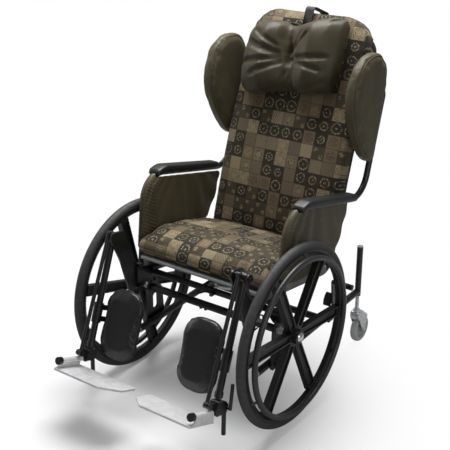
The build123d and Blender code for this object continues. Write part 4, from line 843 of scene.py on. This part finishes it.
for side, sign in (("left", 1), ("right", -1)):
    panel = pad_from(
        "side_panels", f"side_panel_cover_{side}", lambda spot, sign=sign: spot.x * sign > 0
    )
    remesh(panel, 0.003)
    for vertex in panel.data.vertices:
        place = vertex.co
        flat = ramp(place.y, -0.09, 0.05) * ramp(-abs(place.x), -0.276, 0.003)
        fan = (place.y - 0.10) / (0.9 - 0.55 * (place.z - 0.45) / 0.2)
        fold = math.sin(math.tau * fan / FOLD_PITCH) * (0.4 + 0.6 * ramp(-place.z, -0.66, 0.15))
        ripple = math.sin(math.tau * place.y / RIPPLE_PITCH + 12 * place.z) * 0.12
        vertex.co.x += sign * FOLD_DEPTH * (fold + ripple) * flat
        gathered = ramp(-place.y, 0.06, 0.02) * ramp(place.z, 0.47, 0.02)
        along = place.z + 0.6 * place.y
        outward = Vector((place.x - sign * SLEEVE_X, 0, 0))
        if outward.length > SLEEVE_SKIN:
            gather = math.sin(math.tau * along / GATHER_PITCH)
            vertex.co += outward.normalized() * GATHER_DEPTH * gather * gathered
    inner_rim = rim_of(
        "side_panels",
        Vector((-sign, 0, 0)),
        lambda spot, sign=sign: abs(spot.x) < 0.2645 and spot.x * sign > 0,
    )
    seam = stitch(panel, even_loop(inner_rim, 0.006), 0.0008, 0.005)
    welt = piping(f"side_panel_seam_{side}", seam, 0.0028, satin)
    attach(welt, "seat")
    only(panel)
    bpy.ops.object.shade_smooth()
    panel.data.materials.append(satin)
    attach(panel, "seat")
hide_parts("side_panels")

# ---------------------------------------------------------------- calf pads
# Foam on a plywood back in smooth black vinyl, with a welt round the edge.
vinyl, vinyl_shader, vinyl_place = finish(
    "black_vinyl", (0.009, 0.010, 0.009), 0.30, {"Specular IOR Level": 0.5}
)
feed(vinyl, vinyl_shader, Roughness=mottle(vinyl, vinyl_place, 0.02, 0.28, 0.42))
vinyl_grain = node(
    vinyl, "ShaderNodeTexVoronoi", {"Vector": vinyl_place, "Scale": 900.0}
).outputs["Distance"]
relief(vinyl, vinyl_shader, vinyl_grain, 0.00015, 0.35)
LEG_X, KNEE, LEG_LEAN = 0.260, (-0.286, 0.556), math.radians(20.7)
LEG_UP = Vector((0, math.sin(LEG_LEAN), math.cos(LEG_LEAN)))
LEG_BACK = Vector((0, math.cos(LEG_LEAN), -math.sin(LEG_LEAN)))
CALF_MID = (-0.101, 0.012, -0.269)
for side in sides:
    calf = pad_from(f"calf_pad_{side}", f"calf_pad_cover_{side}")
    stuff(calf, 0.003, 0.004, 0.006)
    middle = Vector((LEG_X + CALF_MID[0], *KNEE))
    middle = middle + LEG_BACK * (CALF_MID[1] + 0.006) + LEG_UP * CALF_MID[2]
    if side == "right":
        middle.x = -middle.x
    calf_ring = [
        middle
        + Vector((math.copysign(abs(math.cos(turn)) ** 0.6, math.cos(turn)) * 0.092, 0, 0))
        + LEG_UP * math.copysign(abs(math.sin(turn)) ** 0.75, math.sin(turn)) * 0.125
        for turn in (math.tau * step / 48 for step in range(48))
    ]
    calf_seam = stitch(calf, even_loop(calf_ring, 0.005), 0.0022, 0.008)
    soften(calf)
    calf_welt = piping(f"calf_pad_welt_{side}", calf_seam, 0.0042, vinyl)
    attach(calf_welt, f"calf_rest_{side}")
    calf.data.materials.append(vinyl)
    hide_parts(f"calf_pad_{side}")
    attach(calf, f"calf_rest_{side}")

# ---------------------------------------------------------------- arm pads
# Moulded black foam with a soft skin, crowned on top and drooping at the nose.
skin, skin_shader, skin_place = finish("arm_pad_skin", (0.011, 0.012, 0.011), 0.4)
feed(skin, skin_shader, Roughness=mottle(skin, skin_place, 0.02, 0.34, 0.48))
relief(skin, skin_shader, mottle(skin, skin_place, 0.0012, 0, 1), 0.0001)
for side, sign in (("left", 1), ("right", -1)):
    arm = pad_from("arm_pads", f"arm_pad_skin_{side}", lambda spot, sign=sign: spot.x * sign > 0)
    remesh(arm, 0.004)
    rounder = arm.modifiers.new("rounder", "SMOOTH")
    rounder.factor, rounder.iterations = 0.5, 8
    apply_all(arm)
    soften(arm)
    arm.data.materials.append(skin)
    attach(arm, "seat")
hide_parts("arm_pads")

# ---------------------------------------------------------------- head pillow
# A loosely filled satin pillow, gathered down its middle into one deep crease. Its satin is a
# darker copy of the wings' satin, with shade painted in.
pillow = pad_from("head_pillow", "head_pillow_cover")
stuff(pillow, 0.002, 0.005, 0.012)
PILLOW_ROLL, PILLOW_OFF = math.tan(math.radians(6)), 0.008
pillow_mid = BACK_BEND + back_high * (high_long - 0.178) + back_forward * 0.012


def drawn_in(pad, line, depth, reach):
    """Press a fold into the pillow's front along a line of (across, up) points."""
    ends = list(zip(line, line[1:]))
    total = sum((Vector(b) - Vector(a)).length for a, b in ends)
    for vertex in pad.data.vertices:
        if vertex.normal.dot(back_forward) < 0.1:
            continue
        x = vertex.co.x + PILLOW_OFF
        spot = Vector((x, (vertex.co - pillow_mid).dot(back_high) - x * PILLOW_ROLL))
        run, best, at = 0.0, 1.0, 0.0
        for start, end in ends:
            start, end = Vector(start), Vector(end)
            step = end - start
            share = min(max((spot - start).dot(step) / step.length_squared, 0), 1)
            gap = (spot - start - step * share).length
            if gap < best:
                best, at = gap, (run + step.length * share) / total
            run += step.length
        if best < reach:
            taper = min(1, at / 0.15 + 0.15, (1 - at) / 0.15 + 0.15)
            vertex.co -= back_forward * depth * taper * (1 - (best / reach) ** 2) ** 2


for line, depth, reach in (
    (
        ((-0.034, 0.139), (-0.028, 0.10), (-0.022, 0.06), (-0.004, 0.022), (0.004, 0.0)),
        0.020,
        0.026,
    ),
    (((0.004, 0.0), (0.020, -0.035), (0.030, -0.08), (0.034, -0.136)), 0.018, 0.024),
    (((-0.012, 0.0), (0.016, 0.002)), 0.018, 0.046),
    (((-0.030, 0.142), (-0.012, 0.04), (0.012, -0.04), (0.034, -0.138)), 0.010, 0.070),
    (((-0.178, 0.052), (-0.11, 0.024), (-0.02, -0.002)), 0.012, 0.020),
    (((-0.138, 0.086), (-0.09, 0.055), (-0.030, 0.022)), 0.007, 0.013),
    (((-0.184, -0.026), (-0.10, -0.024), (-0.018, -0.012)), 0.010, 0.015),
    (((-0.125, -0.072), (-0.07, -0.050), (-0.012, -0.022)), 0.010, 0.015),
    (((0.080, 0.078), (0.050, 0.048), (0.022, 0.015)), 0.009, 0.014),
    (((0.048, 0.082), (0.032, 0.050), (0.016, 0.022)), 0.006, 0.010),
    (((0.165, -0.006), (0.10, -0.012), (0.030, -0.012)), 0.011, 0.014),
    (((0.150, -0.055), (0.09, -0.040), (0.034, -0.026)), 0.009, 0.013),
    (((0.165, -0.088), (0.130, -0.098), (0.104, -0.112)), 0.006, 0.011),
    (((-0.012, -0.120), (-0.010, -0.090), (-0.002, -0.055)), 0.007, 0.010),
    (((0.010, -0.118), (0.012, -0.095), (0.016, -0.070)), 0.005, 0.008),
    (((0.004, 0.140), (-0.004, 0.120), (-0.012, 0.096)), 0.006, 0.009),
    (((0.130, 0.108), (0.155, 0.122), (0.180, 0.145)), 0.008, 0.012),
):
    drawn_in(pillow, line, depth, reach)
smoother = pillow.modifiers.new("smoother", "SMOOTH")
smoother.factor, smoother.iterations = 0.4, 2
apply_all(pillow)
soften(pillow)
# Painted shade: the wings' olive satin in darker tones stands in for the shade on the pillow.
pillow.data.materials.append(
    satin_cloth("olive_satin_painted_shade", (0.040, 0.034, 0.017), (0.054, 0.045, 0.023))
)
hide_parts("head_pillow")
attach(pillow, "seat")

# ---------------------------------------------------------------- pillow strap
# Black webbing that runs from the pillow over the top of the back.
webbing, webbing_shader, webbing_place = finish("black_webbing", (0.02, 0.021, 0.02), 0.7)
relief(webbing, webbing_shader, mottle(webbing, webbing_place, 0.0012, 0, 1), 0.0002)
strap = pad_from("pillow_strap", "pillow_strap_webbing")
strap.data.materials.append(webbing)
only(strap)
bpy.ops.object.shade_smooth_by_angle(angle=math.radians(40))
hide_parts("pillow_strap")
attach(strap, "seat")
